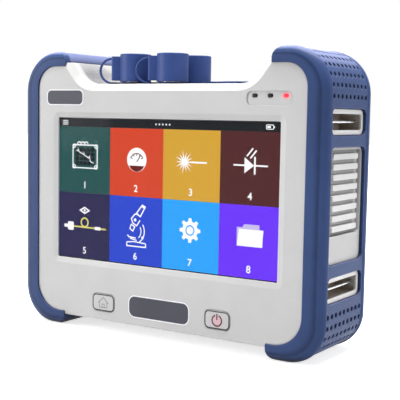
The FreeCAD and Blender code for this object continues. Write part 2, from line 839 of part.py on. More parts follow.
def rear_cover():
    """Rear half of the housing, with the battery bay and the bed of the stand."""
    shell = rounded_shell(parting_y, back_face_y, back_face_y)
    inner = prism(housing_outline(wall, parting_y - 1.0), back_inner_y)
    inner = inner.cut(prism(notch_outline(notch_wall, parting_y - 2.0), back_inner_y + 1.0))
    body = shell.cut(lip_rebate(rear_shoulder_y, rear_y) + [inner])
    added = []
    holes = []
    for x, z in screw_places():
        added.append(rod(boss_radius, V(x, parting_y, z), V(0, 1, 0), back_inner_y - parting_y + join))
        holes.append(rod(screw_radius + pin_gap, V(x, parting_y - 1.0, z), V(0, 1, 0), overall_depth))
        holes.append(rod(screw_head_radius + fit_gap, V(x, screw_seat_y(), z), V(0, 1, 0),
                         overall_depth))
    door_z = centred(door_centre_z, door_height)
    added.append(block(
        (-door_width / 2.0 - groove_wall, door_width / 2.0 + groove_wall),
        (bay_y - wall, back_inner_y + join),
        (door_z[0] - groove_wall, door_z[1] + groove_wall)))
    added.append(rounded_block(
        centred(0.0, stand_width + 2.0 * (run_gap + hinge_wall)),
        (stand_y() - run_gap - groove_wall, back_inner_y + join),
        (stand_low_z - run_gap - groove_wall, stand_hinge_z + stand_thickness + groove_wall + 1.0),
        V(0, 1, 0), stand_radius))
    added.append(block(
        centred(0.0, finger_width + 2.0 * groove_wall),
        (stand_y() - finger_depth - groove_wall, back_inner_y + join),
        (housing_low + 1.0, stand_low_z + finger_high + groove_wall)))
    cutters = [
        block(centred(0.0, door_width - 2.0 * door_ledge), (bay_y, rear_y), bay_heights()),
        rounded_block(centred(0.0, door_width + 2.0 * fit_gap), (door_y() - fit_gap, rear_y),
                      centred(door_centre_z, door_height + 2.0 * fit_gap), V(0, 1, 0), 3.0),
        stand_blank(run_gap, stand_y() - run_gap, rear_y),
        rounded_block(centred(0.0, finger_width), (stand_y() - finger_depth, rear_y),
                      (stand_low_z - finger_low, stand_low_z + finger_high), V(0, 1, 0), 3.0),
    ]
    for x, z in door_screw_places():
        holes.append(rod(door_screw_radius + pin_gap, V(x, door_y() - door_screw_length, z), V(0, 1, 0),
                         door_screw_length + 1.0))
    for side in (-1, 1):
        start = side * (stand_width / 2.0 - stand_leg / 2.0)
        holes.append(rod(stand_pin_radius + pin_gap, V(start, stand_axis_y(), stand_hinge_z),
                         V(side, 0, 0), stand_pin_length() + fit_gap))
    cutters.append(prism(notch_outline(0.0, parting_y - 1.0), rear_y + 1.0))
    cutters += with_mirror(strap_opening(0.0)) + with_mirror([vent_opening()])
    cutters += adapter_holes() + flap_seat() + [seal_solid(fit_gap)]
    return body.fuse(added).cut(cutters + holes)


def screw_seat_y():
    """Where the heads of the housing screws sit."""
    return back_face_y - screw_head_height - seat_depth


def door_y():
    """Inner face of the battery door."""
    return back_face_y - door_thickness


def stand_y():
    """Inner face of the folded stand."""
    return back_face_y - stand_thickness


def stand_axis_y():
    return back_face_y - stand_thickness / 2.0


def stand_pin_length():
    """From the middle of a leg into the rear cover."""
    return stand_leg / 2.0 + run_gap + stand_pin_bite


def stand_blank(grow, y0, y1):
    """U-shaped outline of the stand, made larger by grow."""
    half = stand_width / 2.0 + grow
    low = stand_low_z - grow
    high = stand_hinge_z + stand_thickness / 2.0 + 1.0 + grow
    top = high + 2.0 * stand_radius
    outer = rounded_block((-half, half), (y0, y1), (low, top), V(0, 1, 0), stand_radius)
    inner_half = stand_width / 2.0 - stand_leg - grow
    inner = rounded_block(
        (-inner_half, inner_half), (y0 - 1.0, y1 + 1.0),
        (stand_low_z + stand_bar_height + grow, top + stand_radius), V(0, 1, 0),
        stand_radius - 2.0)
    above = block((-overall_width, overall_width), (y0 - 1.0, y1 + 1.0), (high, top + 1.0))
    return outer.cut([inner, above])


def kickstand():
    """U-shaped folding stand of moulded plastic."""
    body = stand_blank(0.0, stand_y(), back_face_y)
    top = stand_hinge_z + stand_thickness / 2.0 + 1.0
    trim = block((-overall_width, overall_width), (stand_y() - 1.0, rear_y),
                 (stand_hinge_z, top + 1.0))
    body = body.cut(trim)
    knuckles = []
    holes = []
    for side in (-1, 1):
        inner = side * (stand_width / 2.0 - stand_leg)
        outer = side * stand_width / 2.0
        x0 = min(inner, outer)
        knuckles.append(rod(stand_thickness / 2.0, V(x0, stand_axis_y(), stand_hinge_z),
                            V(1, 0, 0), stand_leg))
        holes.append(rod(stand_pin_radius + pin_gap, V(x0 - 1.0, stand_axis_y(), stand_hinge_z),
                         V(1, 0, 0), stand_leg + 2.0))
    relief = rounded_block(
        centred(0.0, stand_width - 2.0 * stand_leg), (back_face_y - 1.2, back_face_y + 1.0),
        (stand_low_z + 4.0, stand_low_z + stand_bar_height - 4.0), V(0, 1, 0), 2.0)
    return body.fuse(knuckles).cut(holes + [relief])


def stand_pins():
    """Two short steel pins, one through each leg into the rear cover."""
    pins = []
    for side in (-1, 1):
        start = side * (stand_width / 2.0 - stand_leg / 2.0)
        pins.append(rod(stand_pin_radius, V(start, stand_axis_y(), stand_hinge_z), V(side, 0, 0),
                        stand_pin_length()))
    return Part.makeCompound(pins)


def battery_door():
    """Flat lid over the battery bay."""
    body = rounded_block(centred(0.0, door_width), (door_y(), back_face_y),
                         centred(door_centre_z, door_height), V(0, 1, 0), 3.0)
    holes = []
    for x, z in door_screw_places():
        holes.append(rod(door_screw_radius + pin_gap, V(x, door_y() - 1.0, z), V(0, 1, 0),
                         door_thickness + 2.0))
        holes.append(rod(door_screw_head + fit_gap, V(x, back_face_y - door_screw_sink, z), V(0, 1, 0),
                         door_screw_sink + 1.0))
    grip = []
    for i in range(grip_count):
        grip.append(rounded_block(
            centred(0.0, grip_width), (back_face_y - grip_depth, back_face_y + 1.0),
            centred(door_low_z + grip_low + grip_pitch * i, grip_height), V(0, 1, 0), 0.4 * grip_height))
    return body.cut(holes + grip)


def door_screw_places():
    x = door_width / 2.0 - door_screw_inset
    z = door_centre_z + door_height / 2.0 - screw_ledge / 2.0
    return [(-x, z), (x, z)]


def bay_heights():
    """Lower and upper wall of the battery bay."""
    return (door_centre_z - door_height / 2.0 + door_ledge, door_centre_z + door_height / 2.0 - screw_ledge)


def door_screws():
    """Two small captive screws of the battery door."""
    shapes = []
    for x, z in door_screw_places():
        seat = back_face_y - door_screw_sink
        top = seat + door_head_height
        head = rod(door_screw_head, V(x, seat, z), V(0, 1, 0), door_head_height)
        shank = rod(door_screw_radius, V(x, seat - door_screw_length, z), V(0, 1, 0),
                    door_screw_length + join)
        slot = block(centred(x, 2.0 * door_screw_head), (top - driver_depth, top + 1.0),
                     centred(z, driver_slot))
        shapes.append(head.fuse(shank).cut(slot))
    return Part.makeCompound(shapes)


def housing_screws():
    """Six machine screws with cross-cut heads that close the housing."""
    shapes = []
    for x, z in screw_places():
        seat = screw_seat_y()
        head = rod(screw_head_radius, V(x, seat, z), V(0, 1, 0), screw_head_height)
        length = seat - parting_y + screw_bite
        shank = rod(screw_radius, V(x, seat - length, z), V(0, 1, 0), length + join)
        top = seat + screw_head_height
        long_side = 1.3 * screw_head_radius
        cross = [
            block(centred(x, long_side), (top - cross_depth, top + 1.0), centred(z, cross_width)),
            block(centred(x, cross_width), (top - cross_depth, top + 1.0), centred(z, long_side)),
        ]
        shapes.append(head.fuse(shank).cut(cross))
    return Part.makeCompound(shapes)


def battery_pack():
    """Lithium pack of rounded bricks in a wrap."""
    half_w = door_width / 2.0 - door_ledge - pack_gap
    z = bay_heights()
    y0 = bay_y + pack_gap
    return rounded_block((-half_w, half_w), (y0, door_y() - pack_gap),
                         (z[0] + pack_gap, z[1] - pack_gap), V(1, 0, 0), 5.0)


def housing_profile(y):
    """Front view of the housing with its top recess, as a face."""
    return Part.Face(housing_outline(0.0, y)).cut(Part.Face(notch_outline(0.0, y))).Faces[0]


def seal_solid(grow):
    """Rubber cord in a groove along the edge of the rear cover, in an upper and a lower run."""
    y0 = parting_y - grow
    face = housing_profile(y0)
    outer = face.makeOffset2D(-(seal_inset - grow))
    inner = face.makeOffset2D(-(seal_inset + seal_size + grow))
    cord = outer.cut(inner).extrude(V(0, seal_size + 2.0 * grow, 0))
    reach = strap_height / 2.0 + seal_stop - grow
    return cord.cut(block((-overall_width, overall_width), (front_y, rear_y),
                          (strap_low_z - reach, strap_high_z + reach)))


def touch_glass():
    half_w = screen_width / 2.0 + screen_margin + glass_border
    half_h = screen_height / 2.0 + screen_margin + glass_border
    y0 = module_y - glass_thickness
    return rounded_block((-half_w, half_w), (y0, module_y),
                         (screen_centre_z - half_h, screen_centre_z + half_h), V(0, 1, 0), 2.0)


def screen_gasket():
    """Thin foam frame between the window's lip and the glass."""
    half_w = screen_width / 2.0 + screen_margin
    half_h = screen_height / 2.0 + screen_margin
    y = (module_y - glass_thickness - gasket_thickness, module_y - glass_thickness)
    outer = rounded_block(
        centred(0.0, 2.0 * (half_w + glass_border)), y,
        centred(screen_centre_z, 2.0 * (half_h + glass_border)), V(0, 1, 0), 2.0)
    inner = rounded_block(
        centred(0.0, 2.0 * half_w + 2.0 * fit_gap), (y[0] - 1.0, y[1] + 1.0),
        centred(screen_centre_z, 2.0 * half_h + 2.0 * fit_gap), V(0, 1, 0), 1.0)
    return outer.cut(inner)


def lcd_panel():
    """Display module: a thin metal-backed tray with the picture in front."""
    body = rounded_block(
        centred(0.0, module_width()), (module_y, module_back_y),
        centred(screen_centre_z, module_height()), V(0, 1, 0), 1.0)
    half_w = screen_width / 2.0 - 8.0
    half_h = screen_height / 2.0 - 8.0
    relief = rounded_block(
        (-half_w, half_w), (module_back_y - 0.8, module_back_y + 1.0),
        (screen_centre_z - half_h, screen_centre_z + half_h), V(0, 1, 0), 4.0)
    return body.cut(relief)


def lcd_bracket():
    """Sheet-metal frame that clamps the display and carries the main board."""
    height = module_height() + 2.0 * bracket_margin
    y = (module_back_y, bracket_back_y)
    plate = rounded_block(centred(0.0, bracket_width), y, centred(screen_centre_z, height),
                          V(0, 1, 0), 3.0)
    cutters = []
    for side in (-1, 1):
        cutters.append(rounded_block(
            centred(side * bracket_width / 4.0, bracket_width / 2.0 - 26.0),
            (y[0] - 1.0, y[1] + 1.0),
            centred(screen_centre_z, height - 56.0), V(0, 1, 0), 6.0))
    for x, z in bracket_places():
        cutters.append(rod(small_screw_radius + pin_gap, V(x, y[0] - 1.0, z), V(0, 1, 0), 4.0))
    posts = []
    for x, z in standoff_places():
        posts.append(rod(standoff_radius, V(x, y[1] - join, z), V(0, 1, 0), standoff_height + join))
        cutters.append(rod(small_screw_radius + pin_gap, V(x, board_y - 3.5, z), V(0, 1, 0), 5.0))
    return plate.fuse(posts).cut(cutters)


def standoff_places():
    heights = (board_low_z + post_inset, board_high_z - post_inset)
    return [(x, z) for x in (-standoff_x, standoff_x) for z in heights]


def small_screw(x, z, seat_y, length):
    head = rod(small_head_radius, V(x, seat_y, z), V(0, 1, 0), small_head_height)
    shank = rod(small_screw_radius, V(x, seat_y - length, z), V(0, 1, 0), length + join)
    return head.fuse(shank)


def board_screws():
    """Small pan-head screws of the bracket, the main board and the key board."""
    shapes = []
    for x, z in bracket_places():
        shapes.append(small_screw(x, z, bracket_back_y, small_screw_length))
    for x, z in standoff_places():
        shapes.append(small_screw(x, z, board_back_y, small_screw_length))
    for side in (-1, 1):
        for dx in (-1, 1):
            x = side * key_centre_x + dx * (key_width / 2.0 + key_screw_gap)
            shapes.append(small_screw(x, key_centre_z, key_board_y() + key_board_thickness,
                                      key_screw_length))
    return Part.makeCompound(shapes)


def main_board():
    """Printed circuit board with its larger parts soldered on the front side."""
    board = rounded_block(centred(0.0, board_width), (board_y, board_back_y),
                          (board_low_z, board_high_z), V(0, 1, 0), 2.0)
    holes = []
    for x, z in standoff_places():
        holes.append(rod(small_screw_radius + pin_gap, V(x, board_y - 1.0, z), V(0, 1, 0),
                         board_thickness + 2.0))
    board = board.cut(holes)
    middle_z = (board_low_z + board_high_z) / 2.0
    shield = rounded_block(
        centred(-0.15 * board_width, shield_width), (board_y - shield_rise, board_y),
        centred(middle_z, shield_height), V(0, 1, 0), 1.0)
    memory = block(centred(0.1 * board_width, memory_width), (board_y - memory_rise, board_y),
                   centred(middle_z, memory_height))
    link = block(centred(0.3 * board_width, link_width), (board_y - link_rise, board_y),
                 centred(middle_z - shield_height, link_height))
    return board.fuse([shield, memory, link])


def optical_module():
    """Screened laser and detector unit with cooling fins on one edge."""
    body = rounded_block(
        (optical_left, optical_right), (optical_y, optical_y + optical_thickness),
        (optical_low_z, optical_high_z), V(0, 1, 0), 2.0)
    grooves = []
    fins = int((optical_high_z - optical_low_z) / fin_pitch) - 1
    back_y = optical_y + optical_thickness
    for i in range(fins):
        z = optical_low_z + (i + 1) * fin_pitch
        grooves.append(block((optical_left + fin_start, optical_left + fin_end),
                             (back_y - fin_depth, back_y + 1.0), centred(z, fin_groove)))
    return body.cut(grooves)


def fibre_spool():
    """Flat spool that holds the spare fibre behind the board."""
    y0 = board_back_y + run_gap
    drum = rod(spool_radius, V(spool_x, y0, spool_z), V(0, 1, 0), spool_thickness)
    bore = rod(spool_hub, V(spool_x, y0 - 1.0, spool_z), V(0, 1, 0), spool_thickness + 2.0)
    groove_width = spool_thickness - 2.0 * spool_cheek
    groove_outer = rod(spool_radius + 1.0, V(spool_x, y0 + spool_cheek, spool_z), V(0, 1, 0),
                       groove_width)
    groove_inner = rod(spool_radius - spool_groove, V(spool_x, y0 + spool_cheek, spool_z), V(0, 1, 0),
                       groove_width)
    return drum.cut([bore, groove_outer.cut(groove_inner)])


def pigtails():
    """Buffered fibres from the two front ports down to the optical unit, and one bent fibre."""
    top = notch_floor - notch_wall - tail_length
    shapes = []
    for x, y in ports[:2]:
        shapes.append(rod(pigtail_radius, V(x, y, optical_high_z + fit_gap), V(0, 0, 1),
                          top - optical_high_z - 2.0 * fit_gap))
    x, y = ports[2]
    r = pigtail_bend
    end_y = optical_y + optical_thickness + fit_gap
    low = optical_high_z - pigtail_drop
    s = math.sqrt(0.5)
    path = Part.Wire([
        Part.makeLine(V(x, y, top - fit_gap), V(x, y, low + r)),
        Part.Arc(V(x, y, low + r), V(x, y - r + r * s, low + r - r * s), V(x, y - r, low)).toShape(),
        Part.makeLine(V(x, y - r, low), V(x, end_y, low)),
    ])
    circle = Part.Wire(Part.makeCircle(pigtail_radius, V(x, y, top - fit_gap), V(0, 0, -1)))
    shapes.append(path.makePipeShell([circle], True, False))
    return Part.makeCompound(shapes)


def key_button(side):
    """Push key that shows in the face, with a flange behind it that meets its switch."""
    x = side * key_centre_x
    front = face_y - key_proud
    flange_y = face_inner_y + run_gap
    cap = rounded_block(centred(x, key_width), (front, flange_y + 0.2),
                        centred(key_centre_z, key_height), V(0, 1, 0), key_radius)
    front_edges = [e for e in cap.Edges if abs(e.BoundBox.YMin - front) < 1e-6
                   and abs(e.BoundBox.YMax - front) < 1e-6]
    cap = cap.makeFillet(0.35, front_edges)
    flange = rounded_block(
        centred(x, key_width + 2.0 * key_flange), (flange_y, flange_y + key_flange_thickness),
        centred(key_centre_z, key_height + 2.0 * key_flange), V(0, 1, 0), key_radius + key_flange)
    return cap.fuse(flange)


def key_board():
    """Small board with one tact switch under each key."""
    width = 2.0 * (key_centre_x + key_width / 2.0 + key_board_end)
    y0 = key_board_y()
    board = rounded_block(centred(0.0, width), (y0, y0 + key_board_thickness),
                          centred(key_centre_z, key_height + 2.0 * key_board_margin), V(0, 1, 0), 2.0)
    added = []
    holes = []
    for side in (-1, 1):
        x = side * key_centre_x
        added.append(rounded_block(centred(x, switch_size), (y0 - switch_height + run_gap, y0),
                                   centred(key_centre_z, switch_size), V(0, 1, 0), 0.8))
        for dx in (-1, 1):
            holes.append(rod(small_screw_radius + pin_gap,
                             V(x + dx * (key_width / 2.0 + key_screw_gap), y0 - 1.0, key_centre_z),
                             V(0, 1, 0), key_board_thickness + 2.0))
    return board.cut(holes).fuse(added)


def label_plate(x, z, width, height, radius):
    """Thin bare plate let into the face of the front cover."""
    y0 = face_y - plate_proud
    return rounded_block(centred(x, width), (y0, y0 + plate_thickness - fit_gap), centred(z, height),
                         V(0, 1, 0), radius)


def optical_adapter(x, y):
    """Turned metal bulkhead adapter: a flange on the recess floor, a nose up and a tail down."""
    floor = notch_floor + collar_thickness + fit_gap
    flange = rod(flange_radius, V(x, y, floor), V(0, 0, 1), flange_thickness)
    nose = rod(nose_radius, V(x, y, floor), V(0, 0, 1), flange_thickness + nose_length)
    tail = rod(tail_radius, V(x, y, notch_floor - notch_wall - tail_length), V(0, 0, 1),
               floor - notch_floor + notch_wall + tail_length + join)
    body = flange.fuse([nose, tail])
    mouth = rod(nose_bore, V(x, y, sleeve_top()), V(0, 0, 1), nose_length)
    bore = rod(sleeve_outer + pin_gap, V(x, y, sleeve_top() - sleeve_length), V(0, 0, 1),
               sleeve_length + 1.0)
    return body.cut([mouth, bore])


def sleeve_top():
    """Upper end of the ceramic sleeve in each port."""
    return notch_floor + collar_thickness + flange_thickness + nose_length - mouth_depth


def alignment_sleeve(x, y):
    """Ceramic tube that lines up the two ferrules."""
    z0 = sleeve_top() - sleeve_length
    outer = rod(sleeve_outer, V(x, y, z0), V(0, 0, 1), sleeve_length)
    return outer.cut(rod(sleeve_bore, V(x, y, z0 - 1.0), V(0, 0, 1), sleeve_length + 2.0))


def cap_base_z():
    """Lower rim of a seated dust cap."""
    return notch_floor + collar_thickness + 2.0 * fit_gap


def dust_cap(x, y):
    """Rubber cap with a grip ear on its left, hollow to fit over the port."""
    z0 = cap_base_z()
    height = cap_top_z - z0
    body = rod(cap_radius, V(x, y, z0), V(0, 0, 1), height)
    rim = [e for e in body.Edges if abs(e.BoundBox.ZMin - cap_top_z) < 1e-6]
    body = body.makeFillet(0.6, rim)
    ear = rounded_block(
        (x - cap_radius - ear_reach, x), centred(y, ear_width),
        (z0 + ear_base, cap_top_z - ear_drop), V(0, 0, 1), 1.5)
    ear.rotate(V(x, y, 0), V(0, 0, 1), ear_turn)
    wide = rod(flange_radius + run_gap, V(x, y, z0 - 1.0), V(0, 0, 1),
               1.0 + flange_thickness + run_gap + 0.5)
    narrow = rod(nose_radius + run_gap, V(x, y, z0 - 1.0), V(0, 0, 1), height + 1.0 - cap_roof)
    return body.fuse(ear).cut([wide, narrow])


def cap_strap(x, y):
    """Flat rubber loop from the cap's ear down to a collar under the port's flange."""
    ear_x = x - cap_radius - ear_reach
    start_x = ear_x - run_gap
    high = cap_top_z - ear_drop - strap_drop
    low = notch_floor
    middle = (high + low) / 2.0
    bow_x = ear_x - strap_loop
    t = strap_thickness
    y0 = y - strap_width / 2.0
    outer = Part.Arc(V(start_x, y0, high), V(bow_x, y0, middle), V(start_x, y0, low))
    inner = Part.Arc(V(start_x, y0, low + t), V(bow_x + t, y0, middle), V(start_x, y0, high - t))
    wire = Part.Wire([
        outer.toShape(),
        Part.makeLine(V(start_x, y0, low), V(start_x, y0, low + t)),
        inner.toShape(),
        Part.makeLine(V(start_x, y0, high - t), V(start_x, y0, high)),
    ])
    loop = Part.Face(wire).extrude(V(0, strap_width, 0))
    tongue = block((start_x - join, x - collar_radius + tongue_overlap), centred(y, strap_width),
                   (low, low + collar_thickness))
    collar = rod(collar_radius, V(x, y, low), V(0, 0, 1), collar_thickness)
    hole = rod(tail_radius + fit_gap, V(x, y, low - 1.0), V(0, 0, 1), collar_thickness + 2.0)
    strap = loop.fuse([tongue, collar]).cut(hole)
    strap.rotate(V(x, y, 0), V(0, 0, 1), ear_turn)
    return strap


def flap_seat():
    """Cuts in the recess floor for the port cover and the sockets below it."""
    x = centred(flap_x, flap_width - 2.0 * flap_plug_margin + 2.0 * run_gap)
    y0 = flap_front_y + flap_plug_margin - run_gap
    y1 = flap_front_y + flap_length - flap_plug_margin - 2.0 * hinge_bead + run_gap
    floor_z = notch_floor - flap_plug - run_gap
    cutters = [rounded_block(x, (y0, y1), (floor_z, notch_floor + 1.0), V(0, 0, 1), flap_radius)]
    middle_y = (y0 + y1) / 2.0
    cutters.append(block(
        centred(flap_x - socket_pitch / 2.0, usb_width + 2.0 * fit_gap),
        centred(middle_y, usb_depth + 2.0 * fit_gap),
        (notch_floor - notch_wall - 1.0, floor_z + 1.0)))
    cutters.append(block(
        centred(flap_x + socket_pitch / 2.0, jack_size + 2.0 * fit_gap),
        centred(middle_y, jack_size + 2.0 * fit_gap),
        (notch_floor - notch_wall - 1.0, floor_z + 1.0)))
    bead_y = flap_front_y + flap_length - hinge_bead
    bead = rod(hinge_bead + run_gap, V(flap_x - flap_width / 2.0 - run_gap, bead_y, flap_axis_z()),
               V(1, 0, 0), flap_width + 2.0 * run_gap)
    return cutters + [bead]


def flap_axis_z():
    return notch_floor + run_gap + hinge_bead * 0.4


def flap_middle_y():
    """Middle of the sockets below the port cover, front to back."""
    y0 = flap_front_y + flap_plug_margin - run_gap
    y1 = flap_front_y + flap_length - flap_plug_margin - 2.0 * hinge_bead + run_gap
    return (y0 + y1) / 2.0


def port_cover():
    """Rubber flap over the service sockets, with a round hinge bead along its rear edge."""
    z0 = notch_floor + run_gap
    bead_y = flap_front_y + flap_length - hinge_bead
    plate = rounded_block(centred(flap_x, flap_width), (flap_front_y, bead_y + 0.2),
                          (z0, z0 + flap_thickness), V(0, 0, 1), 0.2)
    bead = rod(hinge_bead, V(flap_x - flap_width / 2.0, bead_y, flap_axis_z()), V(1, 0, 0), flap_width)
    x = centred(flap_x, flap_width - 2.0 * flap_plug_margin)
    y0 = flap_front_y + flap_plug_margin + run_gap
    y1 = flap_front_y + flap_length - flap_plug_margin - 2.0 * hinge_bead
    plug = rounded_block(x, (y0, y1), (z0 - flap_plug + run_gap, z0 + 0.5), V(0, 0, 1),
                         flap_radius - run_gap)
    tab = rounded_block(centred(flap_x, tab_width), (flap_front_y - tab_reach, flap_front_y + 1.0),
                        (z0, z0 + flap_thickness), V(0, 0, 1), 0.9)
    return plate.fuse([bead, plug, tab])


def usb_socket():
    """Metal-shelled data socket, open at the top with its contact tongue inside."""
    top = notch_floor - flap_plug - run_gap - fit_gap
    y = flap_middle_y()
    x = flap_x - socket_pitch / 2.0
    shell = block(centred(x, usb_width), centred(y, usb_depth), (top - usb_height, top))
    inside = top - usb_height + socket_floor
    mouth = block(centred(x, usb_width - 2.0 * shell_wall), centred(y, usb_depth - 2.0 * shell_wall),
                  (inside, top + 1.0))
    tongue = block(centred(x, usb_width - 5.0 * shell_wall),
                   (y + tongue_offset, y + tongue_offset + tongue_thickness),
                   (inside - join, top - shell_wall))
    return shell.cut(mouth).fuse(tongue)


def charging_socket():
    """Round power inlet in a square body, with a centre pin."""
    top = notch_floor - flap_plug - run_gap - fit_gap
    y = flap_middle_y()
    x = flap_x + socket_pitch / 2.0
    body = block(centred(x, jack_size), centred(y, jack_size), (top - usb_height, top))
    inside = top - usb_height + socket_floor
    mouth = rod(inlet_radius, V(x, y, inside), V(0, 0, 1), usb_height)
    pin = rod(inlet_pin_radius, V(x, y, inside - join), V(0, 0, 1), usb_height - 2.0 * socket_floor)
    return body.cut(mouth).fuse(pin)


def port_board():
    """Small board that carries the two service sockets."""
    top = notch_floor - flap_plug - run_gap - fit_gap - usb_height
    return rounded_block(
        centred(flap_x, flap_width), centred(flap_middle_y(), port_board_depth),
        (top - port_board_thickness, top), V(0, 0, 1), 1.5)


def save(name, shape):
    shape.exportStep("parts/" + name + ".step")


def main():
    os.makedirs("parts", exist_ok=True)
    save("front_cover", front_cover())
    save("rear_cover", rear_cover())
    bumper = right_bumper()
    save("right_bumper", bumper)
    save("left_bumper", mirrored(bumper))
    save("housing_seal", seal_solid(0.0))
    save("touch_glass", touch_glass())
    save("screen_gasket", screen_gasket())
    save("lcd_panel", lcd_panel())
    save("lcd_bracket", lcd_bracket())
    save("status_lights", Part.makeCompound(light_solids(0.0)))
    save("upper_label_plate", label_plate(
        high_plate_x, high_plate_z, high_plate_width, high_plate_height, 3.0 - fit_gap))
    save("lower_label_plate", label_plate(
        0.0, key_centre_z, low_plate_width, low_plate_height, 3.5 - fit_gap))
    save("home_button", key_button(-1))
    save("power_button", key_button(1))
    save("key_board", key_board())
    vent = vent_plate()
    save("right_vent_plate", vent)
    save("left_vent_plate", mirrored(vent))
    for name, z in (("lower", strap_low_z), ("upper", strap_high_z)):
        frame = strap_frame(z)
        bar = strap_bar(z)
        save("right_" + name + "_strap_frame", frame)
        save("left_" + name + "_strap_frame", mirrored(frame))
        save("right_" + name + "_strap_bar", bar)
        save("left_" + name + "_strap_bar", mirrored(bar))
    for number, (x, y) in enumerate(ports, 1):
        save("optical_adapter_%d" % number, optical_adapter(x, y))
        save("alignment_sleeve_%d" % number, alignment_sleeve(x, y))
        save("dust_cap_%d" % number, dust_cap(x, y))
        save("cap_strap_%d" % number, cap_strap(x, y))
    save("port_cover", port_cover())
    save("usb_socket", usb_socket())
    save("charging_socket", charging_socket())
    save("port_board", port_board())
    save("main_board", main_board())
    save("optical_module", optical_module())
    save("fibre_spool", fibre_spool())
    save("fibre_pigtails", pigtails())
    save("board_screws", board_screws())
    save("battery_pack", battery_pack())
    save("battery_door", battery_door())
    save("battery_door_screws", door_screws())
    save("housing_screws", housing_screws())
    save("kickstand", kickstand())
    save("stand_pins", stand_pins())


main()
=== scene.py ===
import math

import bmesh
import bpy
from mathutils import Matrix, Vector


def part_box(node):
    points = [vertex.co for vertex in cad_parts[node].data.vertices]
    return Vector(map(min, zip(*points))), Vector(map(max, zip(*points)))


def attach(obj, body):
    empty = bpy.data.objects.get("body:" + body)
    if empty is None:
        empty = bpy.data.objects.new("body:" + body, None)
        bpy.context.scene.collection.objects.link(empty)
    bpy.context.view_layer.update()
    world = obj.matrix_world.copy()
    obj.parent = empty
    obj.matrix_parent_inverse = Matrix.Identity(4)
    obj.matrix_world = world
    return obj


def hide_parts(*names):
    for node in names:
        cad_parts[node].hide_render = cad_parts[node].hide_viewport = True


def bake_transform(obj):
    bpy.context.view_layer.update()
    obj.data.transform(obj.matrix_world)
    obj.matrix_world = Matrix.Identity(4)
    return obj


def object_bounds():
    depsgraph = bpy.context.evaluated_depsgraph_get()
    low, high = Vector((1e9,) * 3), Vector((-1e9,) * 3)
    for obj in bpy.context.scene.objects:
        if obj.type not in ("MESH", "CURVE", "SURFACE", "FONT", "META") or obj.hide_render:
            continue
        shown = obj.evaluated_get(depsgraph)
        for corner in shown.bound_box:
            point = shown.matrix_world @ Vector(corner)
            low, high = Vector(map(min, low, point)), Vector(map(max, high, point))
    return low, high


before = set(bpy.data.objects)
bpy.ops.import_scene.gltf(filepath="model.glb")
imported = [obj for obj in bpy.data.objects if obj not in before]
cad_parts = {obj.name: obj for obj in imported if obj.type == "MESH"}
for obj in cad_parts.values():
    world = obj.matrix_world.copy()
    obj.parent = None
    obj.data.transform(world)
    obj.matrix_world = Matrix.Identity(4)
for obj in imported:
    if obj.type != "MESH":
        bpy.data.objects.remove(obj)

cad_low, cad_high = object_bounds()

# The camera stands before the tester's right half and looks a little down on it.
# Its place and turns were worked out from the corners of the screen and the edges of the case.
scene = bpy.context.scene
scene.view_settings.view_transform = "Standard"

camera_place = (0.3104, -0.4709, 0.1316)
camera_yaw = math.radians(32.62)
camera_pitch = math.radians(5.10)
camera_roll = math.radians(0.99)

forward = Vector((
    -math.sin(camera_yaw) * math.cos(camera_pitch),
    math.cos(camera_yaw) * math.cos(camera_pitch),
    -math.sin(camera_pitch),
))
level_right = Vector((math.cos(camera_yaw), math.sin(camera_yaw), 0.0))
level_up = level_right.cross(forward)
right = math.cos(camera_roll) * level_right + math.sin(camera_roll) * level_up
up = math.cos(camera_roll) * level_up - math.sin(camera_roll) * level_right

camera = bpy.data.objects.new("camera", bpy.data.cameras.new("camera"))
camera.data.lens = 84.34
camera.data.sensor_width = 36.0
camera.data.clip_start = 0.01
camera.matrix_world = Matrix.Translation(camera_place) @ Matrix((right, up, -forward)).transposed().to_4x4()
scene.collection.objects.link(camera)
scene.camera = camera


# The two halves of the case, the battery door and the stand are injection-moulded ABS in a light
# warm grey. The mould was spark-eroded, so the skin is satin and breaks light up finely. Their edges are
# painted a little paler, partly for the wear of hands and tables and partly as a painted edge highlight.
MM = 0.001


def linear(colour):
    """An sRGB hex colour as the linear RGBA that a shader takes."""
    channels = [int(colour[i:i + 2], 16) / 255.0 for i in (1, 3, 5)]
    return tuple(c / 12.92 if c <= 0.04045 else ((c + 0.055) / 1.055) ** 2.4 for c in channels) + (1.0,)


def add_node(tree, kind, inputs=(), **settings):
    """One shader node with its settings; inputs gives each socket a value or the socket that feeds it."""
    made = tree.nodes.new(kind)
    for name, value in settings.items():
        setattr(made, name, value)
    for socket, value in dict(inputs).items():
        if isinstance(value, bpy.types.NodeSocket):
            tree.links.new(value, made.inputs[socket])
        else:
            made.inputs[socket].default_value = value
    return made


def empty_material(name):
    material = bpy.data.materials.new(name)
    material.use_nodes = True
    material.node_tree.nodes.clear()
    return material


